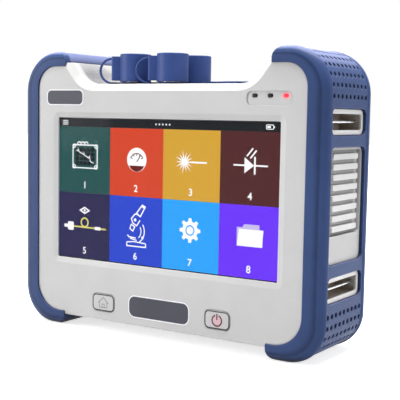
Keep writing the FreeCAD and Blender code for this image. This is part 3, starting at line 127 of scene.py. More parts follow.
def moulded(name, base, drift, paler_edge, roughness, grain_mm, grain_depth_mm, edge_mm, hollow_mm=0.0,
            hollow="#000000", hollow_from=0.75, paint_before_shade=None, paint_after_shade=None, **gloss):
    """Moulded surface: its colour drifts, its grain is eroded, and its edges are soft and painted a little
    paler, partly as wear and partly as a painted edge highlight. Where hollow_mm is given, painted shade
    gathers in hollows of about that size. The two optional functions paint light and shade into the
    colour, the one before that shade and the other after it."""
    material = empty_material(name)
    tree = material.node_tree
    place = add_node(tree, "ShaderNodeTexCoord").outputs["Object"]
    cloud_mm = 38.0
    cloud = add_node(tree, "ShaderNodeTexNoise", {
        "Vector": place, "Scale": 1.0 / (cloud_mm * MM), "Detail": 4.0, "Roughness": 0.55})
    amount = add_node(tree, "ShaderNodeMapRange", {
        "Value": cloud.outputs["Fac"], "From Min": 0.35, "From Max": 0.65})
    drifting = add_node(tree, "ShaderNodeMixRGB", {
        "Fac": amount.outputs["Result"], "Color1": linear(base), "Color2": linear(drift)})
    soft = add_node(tree, "ShaderNodeBevel", {"Radius": edge_mm * MM}, samples=4)
    flat = add_node(tree, "ShaderNodeNewGeometry")
    turn = add_node(tree, "ShaderNodeVectorMath", {
        0: soft.outputs["Normal"], 1: flat.outputs["Normal"]}, operation="DOT_PRODUCT")
    edge = add_node(tree, "ShaderNodeMapRange", {
        "Value": turn.outputs["Value"], "From Min": 1.0, "From Max": 0.86, "To Max": 0.7})
    edge_paled = add_node(tree, "ShaderNodeMixRGB", {
        "Fac": edge.outputs["Result"], "Color1": drifting.outputs["Color"], "Color2": linear(paler_edge)})
    colour = edge_paled.outputs["Color"]
    if paint_before_shade:
        colour = paint_before_shade(tree, place, flat.outputs["Normal"], colour)
    if hollow_mm > 0.0:
        open_sky = add_node(tree, "ShaderNodeAmbientOcclusion", {"Distance": hollow_mm * MM}, samples=6)
        depth = add_node(tree, "ShaderNodeMapRange", {
            "Value": open_sky.outputs["AO"], "From Min": hollow_from, "From Max": 0.25})
        shaded = add_node(tree, "ShaderNodeMixRGB", {
            "Fac": depth.outputs["Result"], "Color1": colour, "Color2": linear(hollow)})
        colour = shaded.outputs["Color"]
    if paint_after_shade:
        colour = paint_after_shade(tree, place, colour)
    grain = add_node(tree, "ShaderNodeTexNoise", {
        "Vector": place, "Scale": 1.0 / (grain_mm * MM), "Detail": 2.0})
    shine = add_node(tree, "ShaderNodeMapRange", {
        "Value": grain.outputs["Fac"], "From Min": 0.3, "From Max": 0.7,
        "To Min": roughness - 0.05, "To Max": roughness + 0.05})
    bump = add_node(tree, "ShaderNodeBump", {
        "Strength": 1.0, "Distance": grain_depth_mm * MM, "Height": grain.outputs["Fac"],
        "Normal": soft.outputs["Normal"]})
    skin = add_node(tree, "ShaderNodeBsdfPrincipled", {
        "Base Color": colour, "Roughness": shine.outputs["Result"], "Normal": bump.outputs["Normal"]})
    for socket, value in gloss.items():
        skin.inputs[socket.replace("_", " ")].default_value = value
    add_node(tree, "ShaderNodeOutputMaterial", {"Surface": skin.outputs["BSDF"]})
    return material


def coat(material, *names):
    """Gives these pieces of the frame their finish."""
    for name in names:
        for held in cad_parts[name].material_slots:
            held.material = material


def painted_recess_shade(tree, place, colour):
    """The case's colour with painted shade, darker in the wide hollows that lie behind its front."""
    wide_mm = 30.0
    front_mm = -22.0
    open_sky = add_node(tree, "ShaderNodeAmbientOcclusion", {"Distance": wide_mm * MM}, samples=8)
    shut_in = add_node(tree, "ShaderNodeMapRange", {
        "Value": open_sky.outputs["AO"], "From Min": 0.97, "From Max": 0.7})
    apart = add_node(tree, "ShaderNodeSeparateXYZ", {"Vector": place})
    behind = add_node(tree, "ShaderNodeMapRange", {
        "Value": apart.outputs["Y"], "From Min": front_mm * MM, "From Max": (front_mm + 1.5) * MM})
    both = add_node(tree, "ShaderNodeMath", {
        0: shut_in.outputs["Result"], 1: behind.outputs["Result"]}, operation="MULTIPLY")
    darker = add_node(tree, "ShaderNodeMixRGB", {
        "Fac": both.outputs["Value"], "Color1": colour, "Color2": linear("#4C4B52")})
    return darker.outputs["Color"]


# A real grain is about 0.1 mm and would vanish, so it is drawn at 0.9 mm, and so are the finer grains
# of the other moulded and printed pieces, at 0.5 to 1.2 mm.
case_abs = moulded("spark_eroded_grey_abs", "#C4C3C2", "#BEBDBC", "#F0EFEE", 0.46, 0.9, 0.008, 0.8, 2.5,
                   "#77727A", paint_after_shade=painted_recess_shade, IOR=1.45)
coat(case_abs, "front_cover", "rear_cover", "battery_door", "kickstand")


# The two bumpers are blue channels of moulded silicone-like rubber that slip over the ends of the case.
# Rows of round dimples in the corners give the hands a hold. The skin is satin and takes soft highlights;
# a painted sheen makes its top and the arms' ends paler, and painted shade darkens where the front turns.
rubber_shade = "#060A1C"
# The colour of the painted sheen on the rubber.
painted_rubber_sheen = "#9098C2"


def bumper_painted_light(tree, place, normal, colour):
    """The rubber's colour with painted shade where the front turns, and a paler painted sheen on what faces
    up and on the arms' ends.
    """
    facing = add_node(tree, "ShaderNodeSeparateXYZ", {"Vector": normal})
    # Painted shade: a dark band where the surface turns away from facing the front.
    to_front_turn = add_node(tree, "ShaderNodeMath", {0: facing.outputs["Y"], 1: 0.97}, operation="ADD")
    to_front_turn = add_node(tree, "ShaderNodeMath", {0: to_front_turn.outputs["Value"]}, operation="ABSOLUTE")
    front_turn_shade = add_node(tree, "ShaderNodeMapRange", {
        "Value": to_front_turn.outputs["Value"], "From Min": 0.026, "From Max": 0.008, "To Max": 0.42})
    front_turn_shaded = add_node(tree, "ShaderNodeMixRGB", {
        "Fac": front_turn_shade.outputs["Result"], "Color1": colour, "Color2": linear(rubber_shade)})
    # Painted sheen: what faces up, and the ends of the top arms, are made paler.
    facing_up = add_node(tree, "ShaderNodeMapRange", {
        "Value": facing.outputs["Z"], "From Min": 0.55, "From Max": 0.95, "To Max": 0.8})
    apart = add_node(tree, "ShaderNodeSeparateXYZ", {"Vector": place})
    inward = add_node(tree, "ShaderNodeMath", {0: apart.outputs["X"]}, operation="ABSOLUTE")
    on_arm = 0.55
    for distance, starts_mm, full_mm in (
            (inward.outputs["Value"], 91.0, 87.0),
            (apart.outputs["Z"], 146.0, 150.0),
            (apart.outputs["Y"], -25.5, -24.0)):
        within = add_node(tree, "ShaderNodeMapRange", {
            "Value": distance, "From Min": starts_mm * MM, "From Max": full_mm * MM})
        so_far = add_node(tree, "ShaderNodeMath", {
            0: on_arm, 1: within.outputs["Result"]}, operation="MULTIPLY")
        on_arm = so_far.outputs["Value"]
    pale = add_node(tree, "ShaderNodeMath", {0: facing_up.outputs["Result"], 1: on_arm}, operation="MAXIMUM")
    sheened = add_node(tree, "ShaderNodeMixRGB", {
        "Fac": pale.outputs["Value"], "Color1": front_turn_shaded.outputs["Color"], "Color2": linear(painted_rubber_sheen)})
    return sheened.outputs["Color"]


bumper_rubber = moulded("satin_blue_rubber", "#364975", "#31436C", "#586CA0", 0.48, 0.8, 0.008, 0.9, 7.0,
                        rubber_shade, 0.85, bumper_painted_light, IOR=1.45, Specular_IOR_Level=0.15)

dimple_rim = 1.5
dimple_foot = 1.0
dimple_depth = 1.5
dimple_proud = 0.8
dimple_flare = 0.3
dimple_pitch = 5.2
dimple_columns = 9
dimple_rows = 6
row_pitch = 6.0
panel_sink = 0.5
high_radius = 25.0 - panel_sink
low_radius = 22.0 - panel_sink


def corner_place(run, corner_radius, overall_half, height):
    """Where the sunk band is run mm past the start of its round corner, and the way out from there."""
    turn = max(0.0, run) / corner_radius
    outward = Vector((math.cos(turn), 0.0, math.sin(turn)))
    centre = Vector((
        overall_half - panel_sink - corner_radius,
        0.0,
        height - panel_sink - corner_radius + min(0.0, run),
    ))
    return centre + corner_radius * outward, outward


def dimple_cutter():
    """All the dimples of the right bumper as one cutter, in its upper and its lower corner."""
    overall_half = cad_high.x / MM
    height = cad_high.z / MM
    low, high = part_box("right_vent_plate")
    middle_y = (low.y + high.y) / 2.0 / MM
    cutter = bmesh.new()
    for first_run, radius, wider, downward in (
            (-1.5, high_radius, 0.0, False), (-4.2, low_radius, 0.15, True)):
        for row in range(dimple_rows):
            place, outward = corner_place(first_run + row * row_pitch, radius, overall_half, height)
            if downward:
                place.z = height - place.z
                outward.z = -outward.z
            for column in range(dimple_columns):
                y = middle_y + (column - (dimple_columns - 1) / 2.0) * dimple_pitch
                centre = Vector((place.x, y, place.z)) + outward * (dimple_proud - dimple_depth) / 2.0
                turned = outward.to_track_quat("Z", "Y").to_matrix().to_4x4()
                bmesh.ops.create_cone(
                    cutter, cap_ends=True, segments=14, radius1=(dimple_foot + wider) * MM,
                    radius2=(dimple_rim + wider + dimple_flare) * MM,
                    depth=(dimple_proud + dimple_depth) * MM,
                    matrix=Matrix.Translation(centre * MM) @ turned)
    return cutter


def plain_copy(node):
    """A welded copy of a frame node's mesh, without the normals stored in it."""
    work = bmesh.new()
    work.from_mesh(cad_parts[node].data)
    bmesh.ops.remove_doubles(work, verts=work.verts, dist=0.001 * MM)
    for layer in list(work.loops.layers.float_vector):
        work.loops.layers.float_vector.remove(layer)
    return work


def mesh_object(name, work, smooth_degrees=35.0):
    """A new object from mesh work, smooth except at edges sharper than the angle."""
    mesh = bpy.data.meshes.new(name)
    work.to_mesh(mesh)
    work.free()
    if mesh.attributes.get("custom_normal"):
        mesh.attributes.remove(mesh.attributes["custom_normal"])
    mesh.shade_smooth()
    mesh.set_sharp_from_angle(angle=math.radians(smooth_degrees))
    made = bpy.data.objects.new(name, mesh)
    scene.collection.objects.link(made)
    return made


def cut_away(target, cutter):
    """Takes the cutter out of the target's mesh for good."""
    modifier = target.modifiers.new("cut", "BOOLEAN")
    modifier.operation = "DIFFERENCE"
    modifier.solver = "EXACT"
    modifier.object = cutter
    view = bpy.context.evaluated_depsgraph_get()
    mesh = bpy.data.meshes.new_from_object(target.evaluated_get(view))
    target.modifiers.clear()
    target.data = mesh
    bpy.data.objects.remove(cutter)


for side, sign in (("left", -1.0), ("right", 1.0)):
    dimples = dimple_cutter()
    if sign < 0.0:
        bmesh.ops.scale(dimples, vec=(-1.0, 1.0, 1.0), verts=dimples.verts)
        bmesh.ops.reverse_faces(dimples, faces=dimples.faces)
    bumper = mesh_object(side + "_bumper_rubber", plain_copy(side + "_bumper"))
    cut_away(bumper, mesh_object("dimples", dimples))
    bumper.data.materials.clear()
    bumper.data.materials.append(bumper_rubber)
    bumper.data.set_sharp_from_angle(angle=math.radians(35.0))
    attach(bumper, "housing")
    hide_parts(side + "_bumper")


# Louvred plates sit in the bumpers' middle windows, moulded in pale ABS: eight bars stand in a sunk
# field over a plain foot. The bars are the field's own ABS, given a paler colour as painted light, so they
# look brighter than the field. The strap frames above and below are whiter ABS with warm shade inside,
# pressed in.
vent_abs = moulded("louvre_grey_abs", "#C8C7C6", "#C2C1C0", "#ECEBE9", 0.46, 0.9, 0.008, 0.3, 3.0, "#464546",
                   IOR=1.45, Specular_IOR_Level=0.3)
lit_bar_abs = moulded("painted_lit_louvre_abs", "#E2E1E0", "#DCDBDA", "#F8F7F6", 0.36, 0.9, 0.004, 0.4, 2.0,
                  "#6A696A", IOR=1.45, Specular_IOR_Level=0.3)
frame_abs = moulded("strap_frame_pale_abs", "#E8E7E4", "#E1E0DD", "#F8F7F5", 0.42, 0.9, 0.008, 0.5, 14.0,
                    "#9C9082", IOR=1.45)
strap_frames = ("left_lower_strap_frame", "left_upper_strap_frame", "right_lower_strap_frame",
                "right_upper_strap_frame")
coat(frame_abs, *strap_frames)


def rounded_rectangle(x, z, width, height, radius, steps=6):
    """Outline in mm, anticlockwise seen from the front."""
    points = []
    for across, along, start in ((1, 1, 0), (-1, 1, 90), (-1, -1, 180), (1, -1, 270)):
        for step in range(steps + 1):
            angle = math.radians(start + 90.0 * step / steps)
            points.append((
                x + across * (width / 2.0 - radius) + radius * math.cos(angle),
                z + along * (height / 2.0 - radius) + radius * math.sin(angle),
            ))
    return points


def join_rings(work, rings):
    """Walls from each ring of vertices to the next."""
    for near, far in zip(rings, rings[1:]):
        for i in range(len(near)):
            j = (i + 1) % len(near)
            work.faces.new((near[i], near[j], far[j], far[i]))


def add_plate(work, outer, inner, near, far):
    """Adds a closed flat plate between two depths along Y, with a hole if inner is given, in mm."""
    rims = []
    for rim in (outer, inner):
        if rim is not None:
            rims.append([[work.verts.new((x * MM, y * MM, z * MM)) for x, z in rim] for y in (near, far)])
    for front_and_back in rims:
        join_rings(work, front_and_back)
    for layer in (0, 1):
        if inner is None:
            work.faces.new(rims[0][layer])
        else:
            join_rings(work, (rims[0][layer], rims[1][layer]))


def turn_sideways(work, sign):
    """Turns plates that were drawn facing -Y so that they face +X or -X."""
    for corner in work.verts:
        across, depth = corner.co.x, corner.co.y
        corner.co.x = -sign * depth
        corner.co.y = across


def fitted(name, work, material, body, smooth_degrees=35.0):
    """A finished piece from mesh work, riding on its body."""
    bmesh.ops.recalc_face_normals(work, faces=work.faces)
    piece = mesh_object(name, work, smooth_degrees)
    piece.data.materials.append(material)
    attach(piece, body)
    return piece


louvre_pitch = 5.54
louvre_height = 3.1
louvre_corner = 0.5
first_louvre_z = 111.3
louvre_count = 8
plate_corner = 3.85
field_low_z = 68.9
field_rim = 1.3
field_depth = 2.3
field_corner = 2.0
louvre_sink = 0.25
louvre_rear_gap = 3.4
louvre_front_gap = 7.6
layer_overlap = 0.01


def louvre_plate(name, sign):
    """One plate of the look model, its outer side towards +X or -X."""
    low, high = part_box(name)
    face = max(abs(low.x), abs(high.x)) / MM
    rear = min(abs(low.x), abs(high.x)) / MM
    y_low, y_high = low.y / MM, high.y / MM
    z_low, z_high = low.z / MM, high.z / MM
    middle_y, middle_z = (y_low + y_high) / 2.0, (z_low + z_high) / 2.0
    floor = face - field_depth
    work = bmesh.new()
    whole = rounded_rectangle(middle_y, middle_z, y_high - y_low, z_high - z_low, plate_corner)
    field_high_z = z_high - field_rim
    field = rounded_rectangle(middle_y, (field_low_z + field_high_z) / 2.0, y_high - y_low - 2.0 * field_rim,
                              field_high_z - field_low_z, field_corner)
    add_plate(work, whole, None, -floor - layer_overlap, -rear)
    add_plate(work, whole, field, -face, -floor)
    plate_faces = len(work.faces)
    louvre_low_y = y_low + louvre_front_gap
    louvre_high_y = y_high - field_rim - louvre_rear_gap
    for i in range(louvre_count):
        z = first_louvre_z - i * louvre_pitch
        bar = rounded_rectangle((louvre_low_y + louvre_high_y) / 2.0, z, louvre_high_y - louvre_low_y,
                                louvre_height, louvre_corner, 2)
        add_plate(work, bar, None, louvre_sink - face, -floor)
    work.faces.ensure_lookup_table()
    for side_of_bar in work.faces[plate_faces:]:
        side_of_bar.material_index = 1
    turn_sideways(work, sign)
    plate = fitted(name + "_louvres", work, vent_abs, "housing")
    plate.data.materials.append(lit_bar_abs)
    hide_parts(name)


louvre_plate("left_vent_plate", -1.0)
louvre_plate("right_vent_plate", 1.0)


# A rolled lip of the same ABS as the strap frames, wider than the wall behind it, runs round the
# mouth of each. It stands a hair proud of the bumper, so its rim catches the light.
strap_flange = 1.3
lip_gap = 0.05
lip_width = 2.5
lip_proud = 0.1
lip_depth = 1.2
lip_corner = 3.6
mouth_corner = 1.5
for name in strap_frames:
    low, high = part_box(name)
    middle_y, middle_z = (low.y + high.y) / 2.0 / MM, (low.z + high.z) / 2.0 / MM
    width = (high.y - low.y) / MM - 2.0 * (strap_flange + lip_gap)
    height = (high.z - low.z) / MM - 2.0 * (strap_flange + lip_gap)
    face = max(abs(low.x), abs(high.x)) / MM
    work = bmesh.new()
    add_plate(work, rounded_rectangle(middle_y, middle_z, width, height, lip_corner),
              rounded_rectangle(middle_y, middle_z, width - 2.0 * lip_width, height - 2.0 * lip_width,
                                mouth_corner),
              -face - lip_proud, lip_depth - face)
    turn_sideways(work, math.copysign(1.0, low.x))
    fitted(name + "_lip", work, frame_abs, "housing")


# Screws, pins and strap bars are turned steel with a thin zinc coat. Turning leaves fine rings across
# the length, so their highlights break into short streaks; the rings are really under 0.1 mm apart
# and are drawn at 0.5 mm, or they would not show.
def metal(name, base, drift, roughness, streak_mm, squeeze, streak_depth_mm):
    """Bare or plated metal whose tool marks are stretched by squeeze along x, y and z."""
    material = empty_material(name)
    tree = material.node_tree
    place = add_node(tree, "ShaderNodeTexCoord").outputs["Object"]
    stretched = add_node(tree, "ShaderNodeMapping", {"Vector": place, "Scale": squeeze})
    marks = add_node(tree, "ShaderNodeTexNoise", {
        "Vector": stretched.outputs["Vector"], "Scale": 1.0 / (streak_mm * MM), "Detail": 3.0})
    colour = add_node(tree, "ShaderNodeMixRGB", {
        "Fac": marks.outputs["Fac"], "Color1": linear(base), "Color2": linear(drift)})
    shine = add_node(tree, "ShaderNodeMapRange", {
        "Value": marks.outputs["Fac"], "From Min": 0.3, "From Max": 0.7,
        "To Min": roughness - 0.07, "To Max": roughness + 0.07})
    bump = add_node(tree, "ShaderNodeBump", {
        "Strength": 1.0, "Distance": streak_depth_mm * MM, "Height": marks.outputs["Fac"]})
    skin = add_node(tree, "ShaderNodeBsdfPrincipled", {
        "Base Color": colour.outputs["Color"], "Metallic": 1.0,
        "Roughness": shine.outputs["Result"], "Normal": bump.outputs["Normal"]})
    add_node(tree, "ShaderNodeOutputMaterial", {"Surface": skin.outputs["BSDF"]})
    return material


turned_steel = metal("zinc_plated_turned_steel", "#D6D7DA", "#B9BBC0", 0.26, 0.5, (1.0, 0.2, 1.0), 0.004)
coat(turned_steel, "left_lower_strap_bar", "left_upper_strap_bar", "right_lower_strap_bar",
     "right_upper_strap_bar", "housing_screws", "battery_door_screws", "board_screws", "stand_pins")


# The display shows a menu of eight coloured tiles under a black bar. The picture glows by itself; its
# dots are 0.15 mm apart and are drawn at 0.9 mm so that they show as a faint weave.
def glowing(name, base, drift, strength=1.0, dot_mm=0.9, dot_share=0.05):
    """A patch of lit display in one colour, with its dots and a slow drift of brightness."""
    material = empty_material(name)
    tree = material.node_tree
    place = add_node(tree, "ShaderNodeTexCoord").outputs["Object"]
    turned = add_node(tree, "ShaderNodeMapping", {
        "Vector": place, "Rotation": (math.radians(90.0), 0.0, 0.0)})
    dots = add_node(tree, "ShaderNodeTexChecker", {
        "Vector": turned.outputs["Vector"], "Color1": (1.0, 1.0, 1.0, 1.0),
        "Color2": (1.0 - dot_share,) * 3 + (1.0,), "Scale": 1.0 / (dot_mm * MM)})
    cloud_mm = 30.0
    cloud = add_node(tree, "ShaderNodeTexNoise", {"Vector": place, "Scale": 1.0 / (cloud_mm * MM)})
    colour = add_node(tree, "ShaderNodeMixRGB", {
        "Fac": cloud.outputs["Fac"], "Color1": linear(base), "Color2": linear(drift)})
    lit = add_node(tree, "ShaderNodeMixRGB", {
        "Fac": 1.0, "Color1": colour.outputs["Color"], "Color2": dots.outputs["Color"]},
        blend_type="MULTIPLY")
    unlit = (0.004, 0.004, 0.004, 1.0)
    skin = add_node(tree, "ShaderNodeBsdfPrincipled", {
        "Base Color": unlit, "Roughness": 0.5, "Specular IOR Level": 0.0,
        "Emission Color": lit.outputs["Color"], "Emission Strength": strength})
    add_node(tree, "ShaderNodeOutputMaterial", {"Surface": skin.outputs["BSDF"]})
    return material


def around(x, z, radius, degrees):
    """The point at that distance and angle from a middle."""
    angle = math.radians(degrees)
    return (x + radius * math.cos(angle), z + radius * math.sin(angle))


def arc(x, z, radius, start=0.0, end=360.0, steps=28):
    """Points along a circle or part of one; a full circle leaves out its last point."""
    count = steps if abs(end - start) == 360.0 else steps + 1
    return [around(x, z, radius, start + (end - start) * step / steps) for step in range(count)]


def solid(points):
    """A filled shape: an outline and no hole."""
    return (points, None)


def stroke(points, width, closed=False):
    """A line of that width along the points: one outline, or an outer and an inner rim if closed."""
    count = len(points)
    left = []
    outer = []
    for i, (x, z) in enumerate(points):
        before = points[i - 1] if closed or i > 0 else None
        after = points[(i + 1) % count] if closed or i < count - 1 else None
        came = Vector((x - before[0], z - before[1])).normalized() if before else None
        goes = Vector((after[0] - x, after[1] - z)).normalized() if after else came
        came = came or goes
        along = (came + goes).normalized()
        across = Vector((-along.y, along.x))
        reach = width / 2.0 / max(0.4, across.dot(Vector((-came.y, came.x))))
        left.append((x + across.x * reach, z + across.y * reach))
        outer.append((x - across.x * reach, z - across.y * reach))
    if closed:
        return (outer, left)
    return (outer + left[::-1], None)


def placed(shapes, x, z):
    """Shapes that were drawn about their own middle, moved to a place."""
    return [tuple(rim and [(x + px, z + pz) for px, pz in rim] for rim in shape) for shape in shapes]


def thin_piece(name, shapes, front_y, thickness, material, body):
    """Closed flat plates, one for each shape, whose faces towards -Y lie at front_y, in mm."""
    work = bmesh.new()
    for outer, inner in shapes:
        add_plate(work, outer, inner, front_y, front_y + thickness)
    return fitted(name, work, material, body)


glass_low, glass_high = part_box("touch_glass")
panel_low, panel_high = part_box("lcd_panel")
panel_border = 5.0
panel_gap = 0.06
film = 0.04
hidden_strip = 1.2  # the first column of tiles runs on behind the lip of the window
picture_left = panel_low.x / MM + panel_border - hidden_strip
picture_right = panel_high.x / MM - panel_border
picture_low = panel_low.z / MM + panel_border
picture_high = panel_high.z / MM - panel_border
picture_y = panel_low.y / MM - panel_gap
icon_y = picture_y - film
bar_height = 5.3
tile_width = 38.7
tile_gap = 0.1
tile_corner = 0.05
tiles_x = 0.5
column_edges = (picture_left, tiles_x - tile_width, tiles_x, tiles_x + tile_width, picture_right)
tile_height = (picture_high - bar_height - picture_low) / 2.0


def tile_middle(column, row, across=0.0, rise=0.0):
    """A point by the middle of a tile; column 0 is the left one and row 0 the top one."""
    return (
        tiles_x + (column - 1.5) * tile_width + across,
        picture_high - bar_height - (row + 0.5) * tile_height + rise,
    )


tile_colours = (
    ("teal", "#285856", "#225050"),
    ("vermilion", "#DC4C2E", "#D4452B"),
    ("amber", "#D6A63A", "#DAA638"),
    ("maroon", "#562A2C", "#50282A"),
    ("slate_violet", "#33305A", "#302E52"),
    ("cobalt", "#2C4CD4", "#304ACE"),
    ("sky", "#30A4FF", "#2AA8FF"),
    ("violet", "#7038FF", "#6C34FA"),
)
for number, (colour_name, base, drift) in enumerate(tile_colours):
    column, row = number % 4, number // 4
    left_edge, right_edge = column_edges[column:column + 2]
    z = tile_middle(column, row)[1]
    tile = rounded_rectangle((left_edge + right_edge) / 2.0, z, right_edge - left_edge - tile_gap,
                             tile_height - tile_gap, tile_corner, 1)
    thin_piece("tile_" + colour_name, [solid(tile)], picture_y, film,
               glowing("lit_display_" + colour_name, base, drift), "housing")
menu_bar = rounded_rectangle((picture_left + picture_right) / 2.0, picture_high - bar_height / 2.0,
                             picture_right - picture_left, bar_height - tile_gap, tile_corner, 1)
thin_piece("menu_bar", [solid(menu_bar)], picture_y, film, glowing("lit_display_bar", "#23262A", "#1C1F22"),
           "housing")


# Pictograms on the tiles: a falling trace, a needle meter, a light burst, a light-emitting diode,
# a coiled fibre, a microscope, a cog wheel and a folder. They are lit dots of the same display, and
# are drawn here as sheets of ink in up to three layers, so that no two of them share a face.
white_ink = glowing("lit_display_white", "#FCFDFE", "#F6F8FA", 1.08)
dark_ink = glowing("lit_display_black", "#10181C", "#0C1216")
red_ink = glowing("lit_display_dark_red", "#6E1E1A", "#641A18")
grid_ink = glowing("lit_display_grid", "#5C7478", "#546C70")
yellow_ink = glowing("lit_display_pale_yellow", "#E8E07A", "#E2DA70")
lilac_ink = glowing("lit_display_lilac", "#CFC6F2", "#C8BEEE")


def pictogram(name, middle, shapes, ink, layer=0, thickness=film / 2.0):
    """A drawing about its own middle, laid on its tile in one of the layers of ink."""
    front_y = icon_y - layer * film / 2.0
    thin_piece(name, placed(shapes, *middle), front_y, thickness, ink, "housing")


middle = tile_middle(0, 0, rise=2.2)
pictogram("icon_trace_panel", middle, [solid(rounded_rectangle(0.0, 0.0, 14.6, 10.6, 0.4, 2))], dark_ink)
grid = [stroke([(x, -5.0), (x, 5.0)], 0.3) for x in (-4.4, -1.5, 1.5, 4.4)]
grid += [stroke([(-7.0, z), (7.0, z)], 0.3) for z in (-2.7, 0.0, 2.7)]
pictogram("icon_trace_grid", middle, grid, grid_ink, 1, film / 4.0)
falling = [(-6.8, 3.6), (-5.8, 3.3), (-5.3, 4.6), (-4.8, 2.9), (-1.2, 1.2), (-0.8, 2.3), (-0.4, 0.8),
           (3.0, -0.9), (3.5, 0.4), (4.0, -2.6), (5.2, -3.4), (6.8, -3.8)]
trace = [stroke(rounded_rectangle(0.0, 0.0, 19.0, 14.0, 1.8), 0.7, True), stroke(falling, 0.5)]
trace += [stroke(arc(x, 7.6, 1.3, 0.0, 180.0, 8), 0.7) for x in (-4.6, -1.8, 1.0)]
trace += [stroke(arc(x, z, 1.1, steps=12), 0.6, True) for x in (-8.6, 8.6) for z in (-6.3, 6.3)]
pictogram("icon_trace", middle, trace, white_ink, 2)

middle = tile_middle(1, 0, 0.5, 1.7)
pictogram("icon_meter_dial", middle, [solid(arc(0.0, 0.0, 7.1))], white_ink)
pivot_z = -1.2
scale_marks = [stroke(arc(0.0, pivot_z, 4.9, 25.0, 155.0, 18), 0.6)]
for degrees in (30.0, 60.0, 90.0, 120.0, 150.0):
    scale_marks.append(stroke([around(0.0, pivot_z, reach, degrees) for reach in (3.6, 4.8)], 0.55))
scale_marks.append(stroke([(0.0, pivot_z), (2.6, 2.2)], 0.6))
scale_marks.append(solid(arc(0.0, -1.0, 6.0, 205.0, 335.0, 16)))
pictogram("icon_meter_scale", middle, scale_marks, red_ink, 1)

burst_x = -4.4
burst = [solid(arc(burst_x, 0.0, 2.1, steps=20))]
ray_count = 14
ray_spread = 11.46
for ray in range(ray_count):
    degrees = 360.0 * ray / ray_count
    reach = 7.0 if ray % 2 == 0 else 6.0
    burst.append(solid([
        around(burst_x, 0.0, reach, degrees),
        around(burst_x, 0.0, 2.2, degrees + ray_spread),
        around(burst_x, 0.0, 2.2, degrees - ray_spread),
    ]))
burst.append(stroke([(-0.4, 0.0), (10.6, 0.0)], 1.0))
pictogram("icon_light_burst", tile_middle(2, 0, rise=1.8), burst, white_ink)

diode = [
    stroke([(-10.8, 0.0), (-3.6, 0.0)], 0.9),
    stroke([(3.0, 0.0), (10.8, 0.0)], 0.9),
    solid([(-3.8, -4.4), (2.2, 0.0), (-3.8, 4.4)]),
    stroke([(2.7, -4.8), (2.7, 4.8)], 1.1),
]
diode += [stroke([(x - 2.4, 5.0 - x / 2.0), (x + 1.4, 9.4 - x / 2.0)], 0.9) for x in (0.0, 2.2)]
pictogram("icon_diode", tile_middle(3, 0, rise=1.6), diode, white_ink)

middle = tile_middle(0, 1, rise=-0.8)
coil = [stroke([(-13.8, 0.0), (16.6, -0.4)], 0.9), stroke(arc(0.0, 2.8, 2.7), 0.9, True)]
pictogram("icon_fibre_coil", middle, coil, yellow_ink)
fibre = [
    solid(rounded_rectangle(-11.0, 0.0, 4.6, 5.2, 0.6, 2)),
    solid(rounded_rectangle(10.2, -0.3, 4.6, 2.0, 0.4, 2)),
    stroke([(-16.2, 0.0), (-13.0, 0.0)], 2.0),
    stroke([(0.0, 8.4), (3.4, 10.2), (0.0, 12.0), (-3.4, 10.2)], 0.9, True),
    solid(arc(0.0, 10.2, 0.8, steps=10)),
]
pictogram("icon_fibre", middle, fibre, white_ink, 1)

microscope = [
    stroke([(-7.0, -9.0), (-7.0, -11.2), (6.8, -11.2), (6.8, -9.0)], 0.75),
    stroke([(-7.0, -9.0), (-2.0, -8.4), (6.8, -9.0)], 0.65),
    stroke([(-6.6, -4.6), (-5.4, -5.8), (-0.4, -6.2)], 0.75),
    stroke([(-4.6, -6.6), (0.4, -7.6)], 0.65),
    stroke(arc(-1.6, -2.0, 7.4, -58.0, 34.0, 14), 0.7),
    stroke(arc(-1.6, -2.0, 5.0, -50.0, 30.0, 12), 0.65),
    stroke([(2.6, 4.6), (0.2, 1.2), (-2.6, 2.6), (-3.8, 5.2), (-1.2, 8.0), (1.4, 8.2)], 0.75),
    stroke([(-4.8, -0.8), (-2.6, -2.2), (-1.2, 0.4), (-3.8, 1.8)], 0.7, True),
    stroke([(2.8, 6.8), (5.8, 11.8), (3.6, 13.0), (-0.2, 8.4)], 0.75, True),
    stroke([(3.8, 13.6), (6.6, 12.2)], 1.3),
    solid(arc(-1.0, 4.6, 1.0, steps=12)),
    solid(arc(4.6, -5.6, 0.9, steps=12)),
]
pictogram("icon_microscope", tile_middle(1, 1, 0.8, 1.8), microscope, white_ink)

teeth = 8
cog_rim = []
cog_hole = []
for tooth in range(teeth):
    for share, reach in ((-0.30, 5.3), (-0.17, 7.1), (0.17, 7.1), (0.30, 5.3)):
        degrees = 360.0 * (tooth + share) / teeth
        cog_rim.append(around(0.0, 0.0, reach, degrees))
        cog_hole.append(around(0.0, 0.0, 3.1, degrees))
cog = [(cog_rim, cog_hole), solid(arc(0.0, 0.0, 2.3))]
pictogram("icon_cog", tile_middle(2, 1, rise=3.2), cog, white_ink)

middle = tile_middle(3, 1, 0.2, 3.4)
folder_back = [(-8.0, -6.0), (8.4, -6.0), (8.4, 3.6), (6.2, 3.6), (6.2, 6.2), (-3.2, 6.2), (-4.6, 4.4),
               (-8.0, 4.4)]
folder_front = [(-7.8, -6.0), (8.0, -6.0), (8.8, 3.4), (-6.6, 3.4)]
pictogram("icon_folder_back", middle, [solid(folder_back)], lilac_ink)
pictogram("icon_folder_front", middle, [solid(folder_front)], white_ink, 1)


